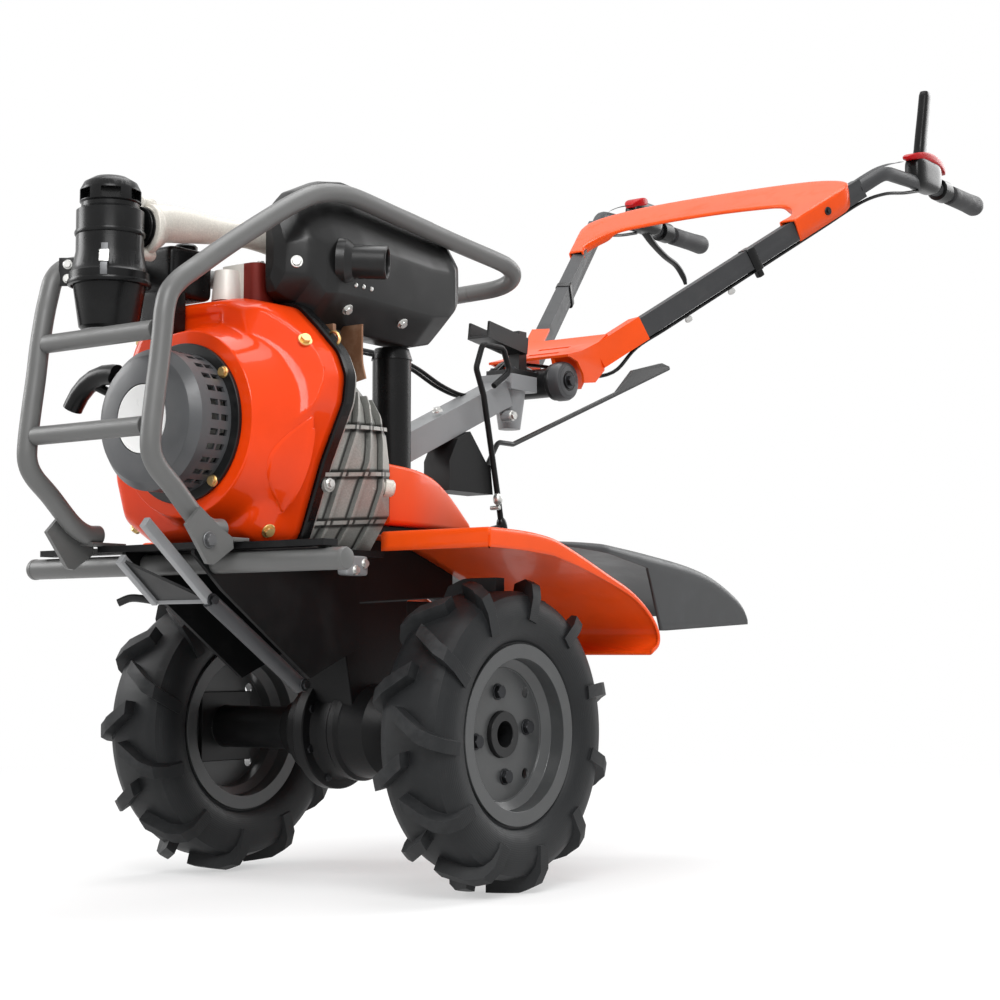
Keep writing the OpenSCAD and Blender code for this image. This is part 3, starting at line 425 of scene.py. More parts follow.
def curve(points, count):
    """Smooth line through the points: a Catmull-Rom cubic between each two, stepped evenly by length."""
    p = np.array(points, float)
    p = np.vstack([2 * p[0] - p[1], p, 2 * p[-1] - p[-2]])
    steps = np.linalg.norm(np.diff(p[1:-1], axis=0), axis=1)
    run = np.concatenate([[0.0], np.cumsum(steps)])
    s = np.linspace(0.0, run[-1], count)
    k = np.clip(np.searchsorted(run, s, side="right") - 1, 0, len(steps) - 1)
    t = ((s - run[k]) / steps[k])[:, None]
    a, b, c, d = p[k], p[k + 1], p[k + 2], p[k + 3]
    return 0.5 * (2 * b + (c - a) * t + (2 * a - 5 * b + 4 * c - d) * t ** 2 + (3 * b - a - 3 * c + d) * t ** 3)


def upright(x, rows):
    """Points from rows of (y, z), all at one x."""
    return [(x, y, z) for y, z in rows]


def circle(radius, around):
    """Points of a circle."""
    a = np.linspace(0.0, 2 * np.pi, around, endpoint=False)
    return radius * np.stack([np.cos(a), np.sin(a)], -1)


def box_ring(half_w, half_h, corner, arc=3):
    """Points of a rectangle with rounded corners: a quarter circle round each corner's middle."""
    a = np.linspace(0.0, np.pi / 2, arc + 1)
    turn = np.arange(4)[:, None] * np.pi / 2
    mid = np.array([[1, 1], [-1, 1], [-1, -1], [1, -1]], float) * [half_w - corner, half_h - corner]
    points = mid[:, None] + corner * np.stack([np.cos(turn + a), np.sin(turn + a)], -1)
    return points.reshape(-1, 2)


def swept(path, section, near=(0.0, 0.0, 1.0), grow=None, twist=None):
    """Section carried along a path, its second axis kept close to near; grow scales it and twist turns it."""
    path = np.asarray(path, float)
    along = unit(np.gradient(path, axis=0))
    side = unit(np.cross(np.broadcast_to(near, along.shape), along))
    up = np.cross(along, side)
    size = np.ones(len(path)) if grow is None else np.asarray(grow, float)
    turn = np.zeros(len(path)) if twist is None else np.asarray(twist, float)
    c, s = np.cos(turn)[:, None], np.sin(turn)[:, None]
    x, y = section[:, 0] * size[:, None], section[:, 1] * size[:, None]
    return path[:, None] + (x * c - y * s)[..., None] * side[:, None] + (x * s + y * c)[..., None] * up[:, None]


def turned(profile, at, toward, around=24, flats=0):
    """Profile of (radius, height) turned about an axis; with flats, the rows that end in 1 follow a regular polygon."""
    profile = np.array(profile, float)
    a = np.linspace(0.0, 2 * np.pi, around, endpoint=False)
    ripple = np.ones((len(profile), around))
    if flats:
        step = 2 * np.pi / flats
        edge = np.cos(step / 2) / np.cos(a % step - step / 2)
        ripple = np.where(profile[:, 2:3] > 0, edge, 1.0)
    r = profile[:, 0:1] * ripple
    local = np.stack([r * np.cos(a), r * np.sin(a), np.broadcast_to(profile[:, 1:2], r.shape)], -1)
    return np.asarray(at, float) + local @ axes(toward)


def pod(at, half, square, basis=None, rows=18, around=28):
    """Superellipsoid: an ellipsoid whose cosines and sines are raised to powers, from round to boxy."""
    v = np.linspace(-1.5, 1.5, rows)[:, None]
    u = np.linspace(0.0, 2 * np.pi, around, endpoint=False)[None]
    power = lambda x, e: np.sign(x) * np.abs(x) ** e
    flat = power(np.cos(v), square[0])
    local = np.stack([flat * power(np.cos(u), square[1]) * half[0], flat * power(np.sin(u), square[1]) * half[1],
                      np.broadcast_to(power(np.sin(v), square[0]) * half[2], (rows, around))], -1)
    return np.asarray(at, float) + local @ (np.eye(3) if basis is None else basis)


def rod(path, section, **more):
    """Skin of a section swept along a path, with flat ends."""
    return shell(swept(path, section, **more))


def lathe(profile, at, toward, around=24, loop=False):
    """Skin of a turned profile, with flat ends or closed on itself in a loop."""
    return shell(turned(profile, at, toward, around), loop)


def piece(name, skin, finish, body="machine", slot="", sharp=36.0, side=1, thick=None, stands_for=None):
    """An object with that skin in the row frame, mirrored for the right side and smooth up to the sharp angle. It
    rides on the body, if any; slot is not used; thick gives a sheet's wall in mm and the side on which it grows."""
    points, faces = skin
    mesh = bpy.data.meshes.new(name)
    mesh.from_pydata(spots(points * FLIP[side]).tolist(), [], faces)
    work = bmesh.new()
    work.from_mesh(mesh)
    bmesh.ops.recalc_face_normals(work, faces=work.faces)
    work.to_mesh(mesh)
    work.free()
    mesh.polygons.foreach_set("use_smooth", np.ones(len(mesh.polygons), bool))
    mesh.set_sharp_from_angle(angle=math.radians(sharp))
    mesh.materials.append(finishes[finish])
    made = bpy.data.objects.new(name, mesh)
    bpy.context.scene.collection.objects.link(made)
    if body:
        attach(made, body)
    if thick:
        wall = made.modifiers.new("sheet", "SOLIDIFY")
        wall.thickness, wall.offset = thick[0] / 1000.0, thick[1]
    if stands_for:
        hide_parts(stands_for)
    return made


def bolt(at, toward, size, tall=0.62, collar=1.35):
    """Hexagon head on a round washer: rings of points that go up the side and over the chamfer."""
    wide, top = size * collar, 1.8 + size * tall
    profile = [(wide, -1.0, 0), (wide, 1.2, 0), (wide - 0.6, 1.8, 0), (size, 1.8, 1), (size, top - 1.0, 1),
               (size * 0.86, top, 0), (size * 0.3, top, 0)]
    return shell(turned(profile, at, toward, 24, 6))


def bolts(name, places, size, finish, body="machine", **more):
    """One piece with a bolt at each (point, direction)."""
    return piece(name, joined([bolt(at, toward, size, **more) for at, toward in places]), finish, body,
                 None, 30.0)


def seat(grid, near, sink=0.6):
    """The point of a grid closest to a place, a little sunk, and the way out of the grid there."""
    i, j = np.unravel_index(np.argmin(((grid - near) ** 2).sum(-1)), grid.shape[:2])
    i = int(np.clip(i, 1, len(grid) - 2))
    out = unit(np.cross(grid[i, (j + 1) % grid.shape[1]] - grid[i, j - 1], grid[i + 1, j] - grid[i - 1, j]))
    out = out * np.sign(out @ (grid[i, j] - grid.reshape(-1, 3).mean(axis=0)))
    return grid[i, j] - sink * out, out


# Fan shroud
SHROUD = np.array([
    (-110, BED_TOP), (-165, 480), (-185, 540), (-180, 650), (-150, 722), (-118, 768), (36, 768), (80, 757), (112, 728),
    (148, 692), (161, 662), (157, 628), (121, 556), (86, 462), (72, BED_TOP)])
CRANK = np.array([0.0, 600.0])


def shroud_edge(columns, taps=24, blur=1.9):
    """Angles about the crankshaft and the outline's reach at each, its corners rounded by a circular average."""
    nxt = np.roll(SHROUD, -1, axis=0)
    t = np.linspace(0.0, 1.0, 60, endpoint=False)[:, None, None]
    rim = (SHROUD + (nxt - SHROUD) * t).transpose(1, 0, 2).reshape(-1, 2) - CRANK
    a = np.linspace(0.0, 2 * np.pi, columns, endpoint=False)
    reach = np.interp(a, np.arctan2(rim[:, 1], rim[:, 0]), np.hypot(*rim.T), period=2 * np.pi)
    spread = np.exp(-0.5 * (np.arange(-taps, taps + 1) * 360.0 / columns / blur) ** 2)
    padded = np.concatenate([reach[-taps:], reach, reach[:taps]])
    return a, np.convolve(padded, spread / spread.sum(), "valid")


def shroud_skin(columns=360):
    """Height field over angle and radius: a rounded shoulder inside the outline, creased to the left, met by the
    flared boss in a fillet."""
    wall_end, face, boss_end = -248.0, -292.0, -330.0
    bulge, fillet = 1.9, 5.5
    a, reach = shroud_edge(columns)
    share = np.linspace(0.0, 1.0, 13)[:, None] ** 1.4
    outer = reach + (148.0 - reach) * share
    inner = np.concatenate([np.linspace(147.0, 116.0, 30), np.linspace(114.0, 92.0, 5)])[:, None]
    r = np.concatenate([outer, np.broadcast_to(inner, (len(inner), columns))])
    ease = lambda v, low, high, soft: 1 / (1 + np.exp(-(v - low) / soft)) / (1 + np.exp((v - high) / soft))
    shoulder = 27.0 - 15.0 * ease(np.degrees(a), 68.0, 124.0, 5.0)
    depth = np.clip((reach - r) / shoulder, 0.0, 1.0)
    body = wall_end + (face - wall_end) * (1.0 - (1.0 - depth) ** bulge) ** (1 / bulge)
    crease = (r * np.cos(a) - 56.0) * 0.953 + (r * np.sin(a) - 162.0) * 0.305
    body = np.maximum(body, face + 0.70 * crease)
    boss = np.maximum(-266.0 - (140.0 - r) * 3.0, boss_end)
    y = np.maximum(-fillet * np.logaddexp(-body / fillet, -boss / fillet), boss_end)
    x, z = r * np.cos(a), CRANK[1] + r * np.sin(a)
    y = y + 3.5 * ease(x, -84.0, 24.0, 1.4) * ease(z, 722.0, 746.0, 1.2)
    wall_y = np.array([-206.3, -220.0, -235.0, -244.0])[:, None]
    wall = np.stack(np.broadcast_arrays(reach * np.cos(a), wall_y, CRANK[1] + reach * np.sin(a)), -1)
    return np.concatenate([wall, np.stack([x, y, z], -1)])


def edge_band(section, columns=300):
    """Band round the shroud's rear edge: a section of (outward, y) carried round the outline, kept off the bed."""
    a, reach = shroud_edge(columns)
    section = np.array(section, float)
    r = reach[:, None] + section[:, 0]
    z = np.maximum(CRANK[1] + r * np.sin(a)[:, None], BED_TOP + 0.1)
    return shell(np.stack(np.broadcast_arrays(r * np.cos(a)[:, None], section[:, 1], z), -1), loop=True)


skin = shroud_skin()
piece("shroud_skin", shell(skin, ends=False), "shroud", slot="orange", sharp=60.0, thick=(2.2, -1.0),
      stands_for="fan_shroud")
strip = [(4.2, -207.6), (6.4, -205.0), (6.4, -191.6), (4.6, -190.0), (-7.0, -190.0), (-7.0, -206.6)]
piece("shroud_edge_strip", edge_band(strip), "black_plastic")
flange = [(2.2, -189.8), (2.2, -185.0), (-9.0, -185.0), (-9.0, -189.8)]
piece("shroud_edge_flange", edge_band(flange), "sheet", slot="engine_alloy")
bolts("shroud_bolts", [seat(skin, near) for near in (
    (134, -252, 706), (80, -262, 466), (-128, -262, 716), (-150, -262, 486))], 7.0, "gold")
turn = np.radians([38.0, 128.0, 218.0, 308.0])
bolts("starter_bolts", [((96 * np.cos(t), -336.4, CRANK[1] + 96 * np.sin(t)), -BACK) for t in turn], 6.2, "gold",
      collar=1.2)
dome = [(79, 0), (76, 1.6), (66, 3.6), (46, 4.9), (44, 4.9), (44, 0)]
piece("starter_dome", lathe(dome, (0, -398.2, CRANK[1]), -BACK, 64, loop=True), "drum", slot="drum_grey")

# Air cleaner, intake and head
CLEANER = np.array([-38.0, -424.0, 0.0])


def on_cleaner(out, rows, count):
    """Line on the cleaner's side in an outward direction, from (radius, height) rows."""
    rows = np.array(rows, float)
    return curve(CLEANER + rows[:, :1] * out + rows[:, 1:] * UP, count)


wires, plates = [], []
for angle in np.radians([-50.0, 130.0]):
    out = np.array([np.cos(angle), np.sin(angle), 0.0])
    strap = on_cleaner(out, [(51.2, 772), (52.0, 778), (51.2, 787), (46.6, 799), (45.4, 812)], 22)
    wires.append(rod(strap, box_ring(4.4, 0.9, 0.7), near=out))
    plate = on_cleaner(out, [(52.6, 788), (50.0, 796), (47.6, 803)], 10)
    plates.append(rod(plate, box_ring(6.0, 1.2, 0.9), near=out))
piece("cleaner_clips", joined(wires), "grey_bolt", slot=None)
piece("cleaner_clip_plates", joined(plates), "zinc", slot=None)
piece("cleaner_bands", joined([lathe(p, CLEANER, UP, 48, loop=True) for p in (
    [(48.0, 765), (51.4, 766), (52.2, 769), (51.4, 771.5), (48.0, 772.5)],
    [(40.0, 828), (43.4, 829), (44.0, 831.5), (43.4, 834), (40.0, 835)])]), "black_plastic", slot=None)
ripple = np.linspace(0.0, 1.0, 41)
bellows = np.stack([24.4 + 2.0 * np.cos(ripple * 6 * np.pi), ripple * 17.0], -1)
piece("intake_bellows", lathe(bellows, (-38, -383, 849), BACK, 32), "black_plastic")
collar = [(20.0, 0), (31.5, 0.4), (33.0, 2.0), (33.0, 9.0), (31.0, 11.5), (26.5, 17.0), (20.0, 26.0)]
lug = [(3.4, 0), (7.6, 0), (8.4, 1.0), (8.4, 20.0), (7.4, 21.5), (3.4, 21.5)]
pipe = curve([(-37, -364, 852), (-36, -340, 860), (-32, -300, 863), (-24, -250, 864), (-11, -200, 864),
              (-2, -156, 857), (0, -130, 838), (0, -126, 818.9)], 70)
bore = np.interp(np.linspace(0, 1, 70), [0, 0.1, 0.22, 0.42, 0.62, 0.85, 1.0], [26, 25, 23, 18, 17, 19, 22])
elbow = [rod(pipe, circle(1.0, 36), near=LEFT, grow=bore), lathe(collar, (-38, -368, 849), (0.1, 1, 0), 40, loop=True)]
elbow += [lathe(lug, (-38, -374, z), BACK, 20) for z in (817, 881)]
piece("intake_elbow", joined(elbow), "cream", sharp=50.0, stands_for="intake_pipe")
tank = [shell(pod(at, half, (0.22, 0.22), rows=36, around=60)) for at, half in (
    ((-61.5, -288, 803), (31, 38, 33)), ((-61.5, -311.5, 751), (31, 14.5, 30)))]
piece("tank_moulding", joined(tank), "black_plastic", sharp=50.0, stands_for="fuel_tank")
strap = curve([(-77, -436, 787), (-86, -443, 787), (-95, -450, 787), (-99, -452, 787)], 14)
piece("cleaner_strap", rod(strap, box_ring(1.6, 18.0, 1.2)), "black_metal")
bolts("cleaner_strap_bolts", [((-89, -447, z), (0.6, -0.78, 0)) for z in (778, 796)], 4.6, "zinc")
cap = [(13, 0), (15.5, 2), (15.5, 10), (13, 12.5), (6, 14)]
piece("tank_cap", lathe(cap, (-62, -270, 834), UP, 32), "black_plastic")
bolts("rocker_bolts", [((x, -218, 818), UP) for x in (-16, 24)], 5.6, "zinc")

# Engine sides
bolts("crankcase_bolts", [((120, y, z), LEFT) for y, z in ((-188, 528), (-104, 530), (-146, 610), (-92, 570))], 5.4,
      "zinc")
dip = [(4, 0), (8.5, 0.5), (8.5, 34), (11.5, 35), (11.5, 46), (9, 48.5), (3, 49)]
piece("oil_filler", lathe(dip, (104, -112, 534), (0.55, 0.82, -0.12)), "cream")


def silencer_skin(rows=96):
    """Sections with cut corners, rounded by corner cutting, carried along y between a line for each of four sides."""
    p = np.array([(0.08, 0.0), (0.50, 0.0), (1.0, 0.20), (1.0, 0.55), (0.47, 1.0), (0.14, 1.0), (0.0, 0.90),
                  (0.0, 0.08)])
    for share in (0.055, 0.25, 0.25):
        q = np.roll(p, -1, axis=0)
        p = np.stack([(1 - share) * p + share * q, share * p + (1 - share) * q], 1).reshape(-1, 2)
    y = -68.0 - 168.0 * np.cos(np.linspace(0.0, np.pi, rows))
    left = np.interp(y, [-236, -230, -212, -190, -172, 78, 92, 100], [64, 80, 100, 114, 118, 118, 112, 92])
    right = np.interp(y, [-236, -228, -216, 84, 96, 100], [50, 42, 40, 40, 44, 54])
    low = np.interp(y, [-236, -230, -214, -204, -190, -100, 30, 66, 86, 100],
                    [796, 778, 770, 766, 741, 737, 735, 743, 766, 800])
    high = np.interp(y, [-236, -230, -206, -160, -118, 25, 84, 96, 100], [874, 888, 914, 935, 942, 928, 921, 908, 888])
    x = right[:, None] + (left - right)[:, None] * p[:, 0]
    z = low[:, None] + (high - low)[:, None] * p[:, 1]
    return np.stack([x, np.broadcast_to(y[:, None], x.shape), z], -1)


box = silencer_skin()
stub = [(31, -8), (30, 3), (25, 9), (22.4, 12), (22, 54), (21, 56), (18.6, 56), (18, 54), (18, 4), (3, 3)]
case = [shell(box), lathe(stub, (114, -152, 823), (0.86, 0.50, -0.05), 40)]
piece("silencer_case", joined(case), "silencer", slot="black_metal", sharp=14.0, stands_for="muffler")
bolts("muffler_bolts", [seat(box, near) for near in ((96, -229, 818), (106, -134, 758), (104, -22, 754))], 6.0, "zinc")
dots = [(2.8, -1), (3.4, 0.2), (2.6, 1.6), (0.8, 2.2)]
piece("silencer_rivets", joined([lathe(dots, *seat(box, (118, y, z)), 14) for y, z in (
    (-136, 793), (-120, 791), (-103, 790))]), "zinc", slot=None)
plate = curve([(98, -121, 744), (98, -121, 712), (99, -121, 690), (103, -119, 668)], 18)
piece("heat_plate", rod(plate, box_ring(19.5, 1.5, 1.2), near=BACK), "heat_steel")
hook = curve([(128, -196, 722), (136, -199, 722), (143, -200, 718), (146, -200, 711), (142, -200, 705),
              (136, -200, 706)], 24)
piece("gold_clip", rod(hook, circle(2.0, 10), near=BACK), "gold", slot=None)
foot = pod((104, -123, 425), (9, 22, 13), (0.25, 0.25))
piece("engine_foot", shell(foot), "light_grey")
bolts("engine_foot_bolts", [((113, -128, 419), LEFT), ((113, -110, 428), LEFT)], 4.8, "zinc")


def cover_shell(rows=64):
    """Rounded rectangles set along y, each between a top line and the gearbox, wider in front than behind."""
    y = np.linspace(-24.0, 181.0, rows)
    share = np.clip((y - 20.0) / 161.0, 0.0, 1.0)
    wide = 84.0 - 20.0 * share ** 2 * (3.0 - 2.0 * share)
    top = curve([(-24, 569), (23, 566), (60, 561), (92, 553), (122, 540), (150, 523), (170, 508), (181, 499)], 200)
    top = np.interp(y, top[:, 0], top[:, 1])
    edge = box_ring(10.0, 10.0, 6.0)
    half = np.stack([wide, (top - GEAR_TOP) / 2], -1)[:, None]
    ring = np.sign(edge) * half + edge - 10.0 * np.sign(edge)
    return np.stack(np.broadcast_arrays(ring[..., 0], y[:, None], ring[..., 1] + (top[:, None] + GEAR_TOP) / 2), -1)


piece("cover_shell", shell(cover_shell()), "orange", sharp=40.0, stands_for="centre_cover")

# Guard, bed and front bar
GUARD_X = 109
RAIL = [
    (-372, 460.5), (-392, 461), (-416, 473), (-452, 506), (-478, 528), (-488.5, 546), (-489, 570), (-484, 610),
    (-478, 650), (-473, 690), (-470, 716), (-463, 737), (-446, 755), (-422, 772), (-360, 814), (-292, 857), (-245, 885),
    (-209, 902), (-172, 911), (-130, 913), (-54, 905), (86, 889), (186, 879)]
FAR_RAIL = [
    (160, 841), (40, 833), (-120, 824), (-300, 812), (-380, 806), (-412, 802), (-438, 793), (-453, 777), (-460, 755),
    (-466, 730), *RAIL[9::-1]]
FOOT_PLATE = [(-411, 417), (-401, 416), (-368, 437), (-370, 450), (-392, 462), (-424, 484), (-446, 462)]
rails = {
    1: upright(GUARD_X, RAIL) + [(109, 212, 874.5), (106, 229, 868.5), (97, 239, 861), (82, 242, 854.5),
                                 (60, 242, 850.5), (20, 240, 848.5)],
    -1: [(20, 240, 848.5), (-40, 239, 847), (-82, 237, 846), (-100, 228, 845), (-108, 208, 843.5)]
    + upright(-GUARD_X, FAR_RAIL),
}
for side, name in SIDES.items():
    tube = rod(curve(rails[side], 260), circle(12.5, 28), near=(0.7, 0.0, 0.7))
    plate = shell(np.array([upright(side * x, FOOT_PLATE) for x in (120.5, 126.5)], float))
    pad = rod([(side * GUARD_X, y, 448.5) for y in (-392, -336)], box_ring(12.5, 2.4, 1.0))
    piece(f"guard_{name}_tube", joined([tube, plate, pad]), "grey_tube", sharp=50.0,
          stands_for=f"guard_{name}")
bolts("guard_foot_bolts", [((s * 126.6, -410, 445), s * LEFT) for s in SIDES], 7.6, "grey_bolt")
plug = [(13.9, 0), (13.9, 5.0), (12.4, 7.6), (7.0, 9.0), (1.0, 9.3)]
piece("front_bar_plugs", joined([lathe(plug, (s * 270.5, -334, 422.2), s * LEFT, 28) for s in SIDES]), "grey_tube")
NEAR_TOP, NEAR_KNEE = (61, -452, 467), (61, -342, 376)
FAR_TOP, FAR_KNEE = (-32, -404, 427), (-32, -342, 376)
bars = [rod(ends, box_ring(7.0, 5.0, 1.4), near=LEFT) for ends in ((NEAR_TOP, NEAR_KNEE), (FAR_TOP, FAR_KNEE))]
bars.append(rod([FAR_KNEE, NEAR_KNEE], box_ring(4.0, 4.0, 1.2)))
piece("brace_bars", joined(bars), "light_grey", stands_for="front_brace")
corner = np.array([FAR_TOP, FAR_KNEE, NEAR_KNEE], float)
lift = unit(np.cross(corner[1] - corner[0], corner[2] - corner[1])) * 2.0
piece("brace_gusset", shell(np.stack([corner - lift, corner + lift])), "black_metal")
tube = curve([NEAR_KNEE, (61, -259, 322), (61, -176, 268)], 20)
piece("brace_tube", rod(tube, circle(10.5, 28), near=LEFT), "dark_grey", slot="grey_tube")
hook = curve([FAR_KNEE, (-46, -352, 379), (-64, -358, 380), (-76, -367, 374)], 16)
piece("brace_hook", rod(hook, circle(5.0, 12), near=(0.2, 0, 1)), "black_metal")
bolts("brace_bolts", [((71, -179, 270), LEFT), ((66, -342, 376), LEFT)], 6.4, "black_bolt")
drive = [
    (40, -39.2), (80.6, -39.2), (82, -37.6), (82, -22.6), (80.4, -21), (70, -18), (66, -10), (66, 8), (69.4, 13),
    (69.4, 22), (65, 27), (63.4, 50), (62, 68), (57, 75), (50, 85), (46.4, 89), (46.4, 97), (44, 100), (39.4, 103.6),
    (22, 103.6)]
piece("final_drive_case", lathe(drive, (0, 0, AXLE_Z), LEFT, 72, loop=True), "gear_cast", sharp=28.0)


def round_axle(x, radius, angle):
    """Point at a radius and an angle about the axle."""
    return x, radius * np.cos(angle), AXLE_Z + radius * np.sin(angle)


turn = np.radians(np.arange(4) * 90.0 + 8.0)
for side, name in SIDES.items():
    bolts(f"{name}_wheel_bolts", [(round_axle(side * 255.2, 56, t), side * LEFT) for t in turn], 9.4, "black_bolt",
          f"{name}_wheel", collar=1.15)
turn = np.radians(np.arange(8) * 45.0 + 20.0)
turn = turn[(np.abs(np.cos(turn)) > 0.4) | (np.sin(turn) < 0)]
bolts("split_flange_bolts", [(round_axle(s * 8.2 - 30, 71, t), s * LEFT) for s in SIDES for t in turn], 6.0,
      "black_bolt", collar=1.1)

# Handlebar: the tubes' middle line, and the lines of (y, z) in the controls' plane
ROOT, TOP = np.array([62.7, 509.0, 779.0]), np.array([300.0, 1076.0, 1157.0])
RUN = unit(TOP - ROOT)
OUT = unit(np.array([RUN[1], -RUN[0], 0.0]))
RISE = np.cross(OUT, RUN) * np.sign(np.cross(OUT, RUN)[2])
CONTROL_X = 302
TIE = {1: 368, -1: 315}
CLIPS = {1: (300, 196), -1: (245,)}
LEVER = {1: [(1216, 1196), (1224, 1240), (1236, 1290), (1246, 1334), (1247, 1342)],
         -1: [(1236, 1156), (1268, 1136), (1312, 1118), (1356, 1106), (1384, 1086), (1392, 1072)]}
CRESCENT = {1: [(1158, 1200), (1190, 1208), (1224, 1212), (1262, 1211), (1296, 1206), (1320, 1201)],
            -1: [(1176, 1196), (1196, 1206), (1216, 1211), (1236, 1211)]}
GRIP = [(14, 0), (17.4, 0.6), (18.0, 3), (17.8, 40), (18.2, 80), (19.2, 106), (19.4, 114), (18.0, 120), (13.6, 123.6),
        (5.0, 125.2)]
CLAMP = [(14, 0), (20, 1.5), (20.5, 30), (18, 33), (14, 34)]


def tube_at(s, out=0.0, rise=0.0):
    """Point of the left handle tube's middle line, moved outwards and up from it."""
    return ROOT + s * RUN + out * OUT + rise * RISE


def lever(side):
    """Bar along the side's lever line: a stout upright one on the left, a slim hanging one on the right."""
    line = upright(CONTROL_X, LEVER[side])
    if side > 0:
        size = np.interp(np.linspace(0, 1, 30), [0, 0.2, 0.93, 0.985, 1.0], [1.25, 1.0, 0.92, 0.7, 0.25])
        return rod(curve(line, 30), box_ring(9.6, 12.4, 7.0), near=-BACK, grow=size)
    size = np.interp(np.linspace(0, 1, 34), [0, 0.25, 0.9, 1.0], [1.3, 1.0, 0.9, 0.5])
    return rod(curve(line, 34), box_ring(6.6, 4.4, 3.0), grow=size)


for side, name in SIDES.items():
    bar = {"body": "handlebar", "side": side}
    blade = curve([tube_at(556), tube_at(610), (291, 1052, 1146), (300, 1110, 1176), (302, 1172, 1197)], 44)
    t = np.linspace(0.0, 1.0, 44)[:, None, None]
    # swept takes one section for a whole path, so this changing one comes out as a narrow strip
    section = box_ring(11.2, 17.2, 2.4) * (1 - t) + box_ring(6.0, 14.5, 2.4) * t
    twist = -0.75 * np.clip(np.linspace(-0.3, 1.1, 44), 0, 1)
    piece(f"{name}_handle_blade", rod(blade, section, twist=twist), "dark_tube", slot="grey_tube", **bar)
    tie = [tube_at(TIE[side] + step) for step in (-9, -8, 8, 9)]
    tie = rod(tie, box_ring(13.6, 21.5, 4.0) - [0, 3.0], grow=[0.96, 1, 1, 0.96])
    lock = pod(tube_at(TIE[side], 6, -27), (6, 8, 6), (0.35, 0.35), axes(RUN))
    piece(f"{name}_cable_tie", joined([tie, shell(lock)]), "black_plastic", slot=None, **bar)
    hoops = [pod(tube_at(at, 5, -29), (3.6, 5.0, 7.5), (0.8, 0.8), axes(RUN), 10, 14) for at in CLIPS[side]]
    piece(f"{name}_clear_clips", joined([shell(p) for p in hoops]), "clear_clip", slot=None, **bar)
    wing = [(tube_at(552, 16.6) * FLIP[side], OUT * FLIP[side])]
    bolts(f"{name}_wing_bolt", wing, 4.2, "black_bolt", "handlebar", collar=1.7)
    piece(f"{name}_grip_rubber", lathe(GRIP, (304, 1341, 1166), BACK, 36), "grip", sharp=50.0,
          stands_for=f"{name}_grip", **bar)
    case = pod((CONTROL_X, 1234, 1182), (19.5, 52, 31), (0.55, 0.5), rows=24, around=40)
    forms = [shell(case), lathe(CLAMP, (303, 1290, 1167), BACK, 32), lever(side)]
    piece(f"{name}_control", joined(forms), "black_plastic", stands_for=f"{name}_lever", **bar)
    arc = curve(upright(CONTROL_X, CRESCENT[side]), 36)
    size = np.sin(np.linspace(0.10, np.pi - 0.10, 36)) ** 0.6
    piece(f"{name}_red_crescent", rod(arc, box_ring(20.0, 8.4, 5.0), grow=size), "red", slot=None, **bar)


# Cross plate: an arch from wing to wing in the plane of the handle tubes, its outer edge turned down
def arch_sheet(half=60):
    """Sheet between an outer and an inner line, given as (x, run along the tubes), with flanges down from its edges."""
    outer = curve([(232, 470), (250, 525), (266, 572), (274, 604), (266, 632), (236, 652), (180, 668), (90, 676),
                   (0, 678)], half)
    inner = curve([(204, 470), (214, 494), (208, 520), (190, 546), (158, 562), (110, 569), (70, 573), (35, 575),
                   (0, 575.5)], half)
    both = lambda line: np.concatenate([line, line[-2::-1] * [-1, 1]])[:, None]
    outer, inner = both(outer), both(inner)
    share = np.array([0.0, 0.0, 0.0, 0.012, 0.05, 0.2, 0.4, 0.6, 0.8, 0.95, 0.99, 1.0, 1.0])[:, None]
    flat = outer + (inner - outer) * share
    wing = 1.0 / (1.0 + np.exp((outer[..., 1] - 612.0) / 7.0))
    skirt = np.array([1.0, 0.5, 0.12, 0.03, 0, 0, 0, 0, 0, 0, 0.02, 0.1, 0.35])
    height = 21.0 - skirt * (11.0 + 27.0 * wing)
    up = np.array([0.0, -RUN[2], RUN[1]]) / np.hypot(RUN[1], RUN[2])
    middle = [0.0, 1.0, 1.0]
    return ROOT * middle + flat[..., :1] * LEFT + flat[..., 1:] * (RUN * middle) + height[..., None] * up


piece("cross_plate_sheet", sheet(arch_sheet()), "orange", "handlebar", sharp=50.0, thick=(3.0, 0.0),
      stands_for="cross_plate")


# Flaps and fenders
def flap_sheet():
    """Sheet carried along a line that slopes down behind the fender; its outer side rolls over in a quarter circle
    into a skirt, which grows deeper towards the rear."""
    inner, outer, roll = 62.0, 280.0, 12.0
    line = curve([(64, 459.5), (110, 460.5), (152, 461), (196, 460), (240, 456.5), (311, 450), (421, 437), (493, 421),
                  (553, 397), (576, 381.5), (584, 370)], 78)
    y, z = line[:, :1], line[:, 1:]
    bend = np.linspace(0.2, np.pi / 2, 6)
    across = np.concatenate([np.linspace(inner, outer, 16), outer + roll * np.sin(bend), np.full(8, outer + roll)])
    drop = np.concatenate([np.zeros(16), roll * (1 - np.cos(bend)), np.full(8, roll)])
    hem = np.concatenate([np.zeros(22), np.linspace(0.125, 1.0, 8)])
    room = z - roll - np.interp(y, [345, 586], [343, 355])
    deep = np.clip(np.interp(y, [300, 345], [8.0, 120.0]), 0.0, np.maximum(room, 1.0))
    lap = np.interp(y, [64, 196, 300], [0.86, 1.0, 1.0])
    fall = np.interp(y, [64, 120, 300], [0.0, 0.25, 1.0])
    return np.stack(np.broadcast_arrays(inner + (across - inner) * lap, y, z - fall * (drop + deep * hem)), -1)


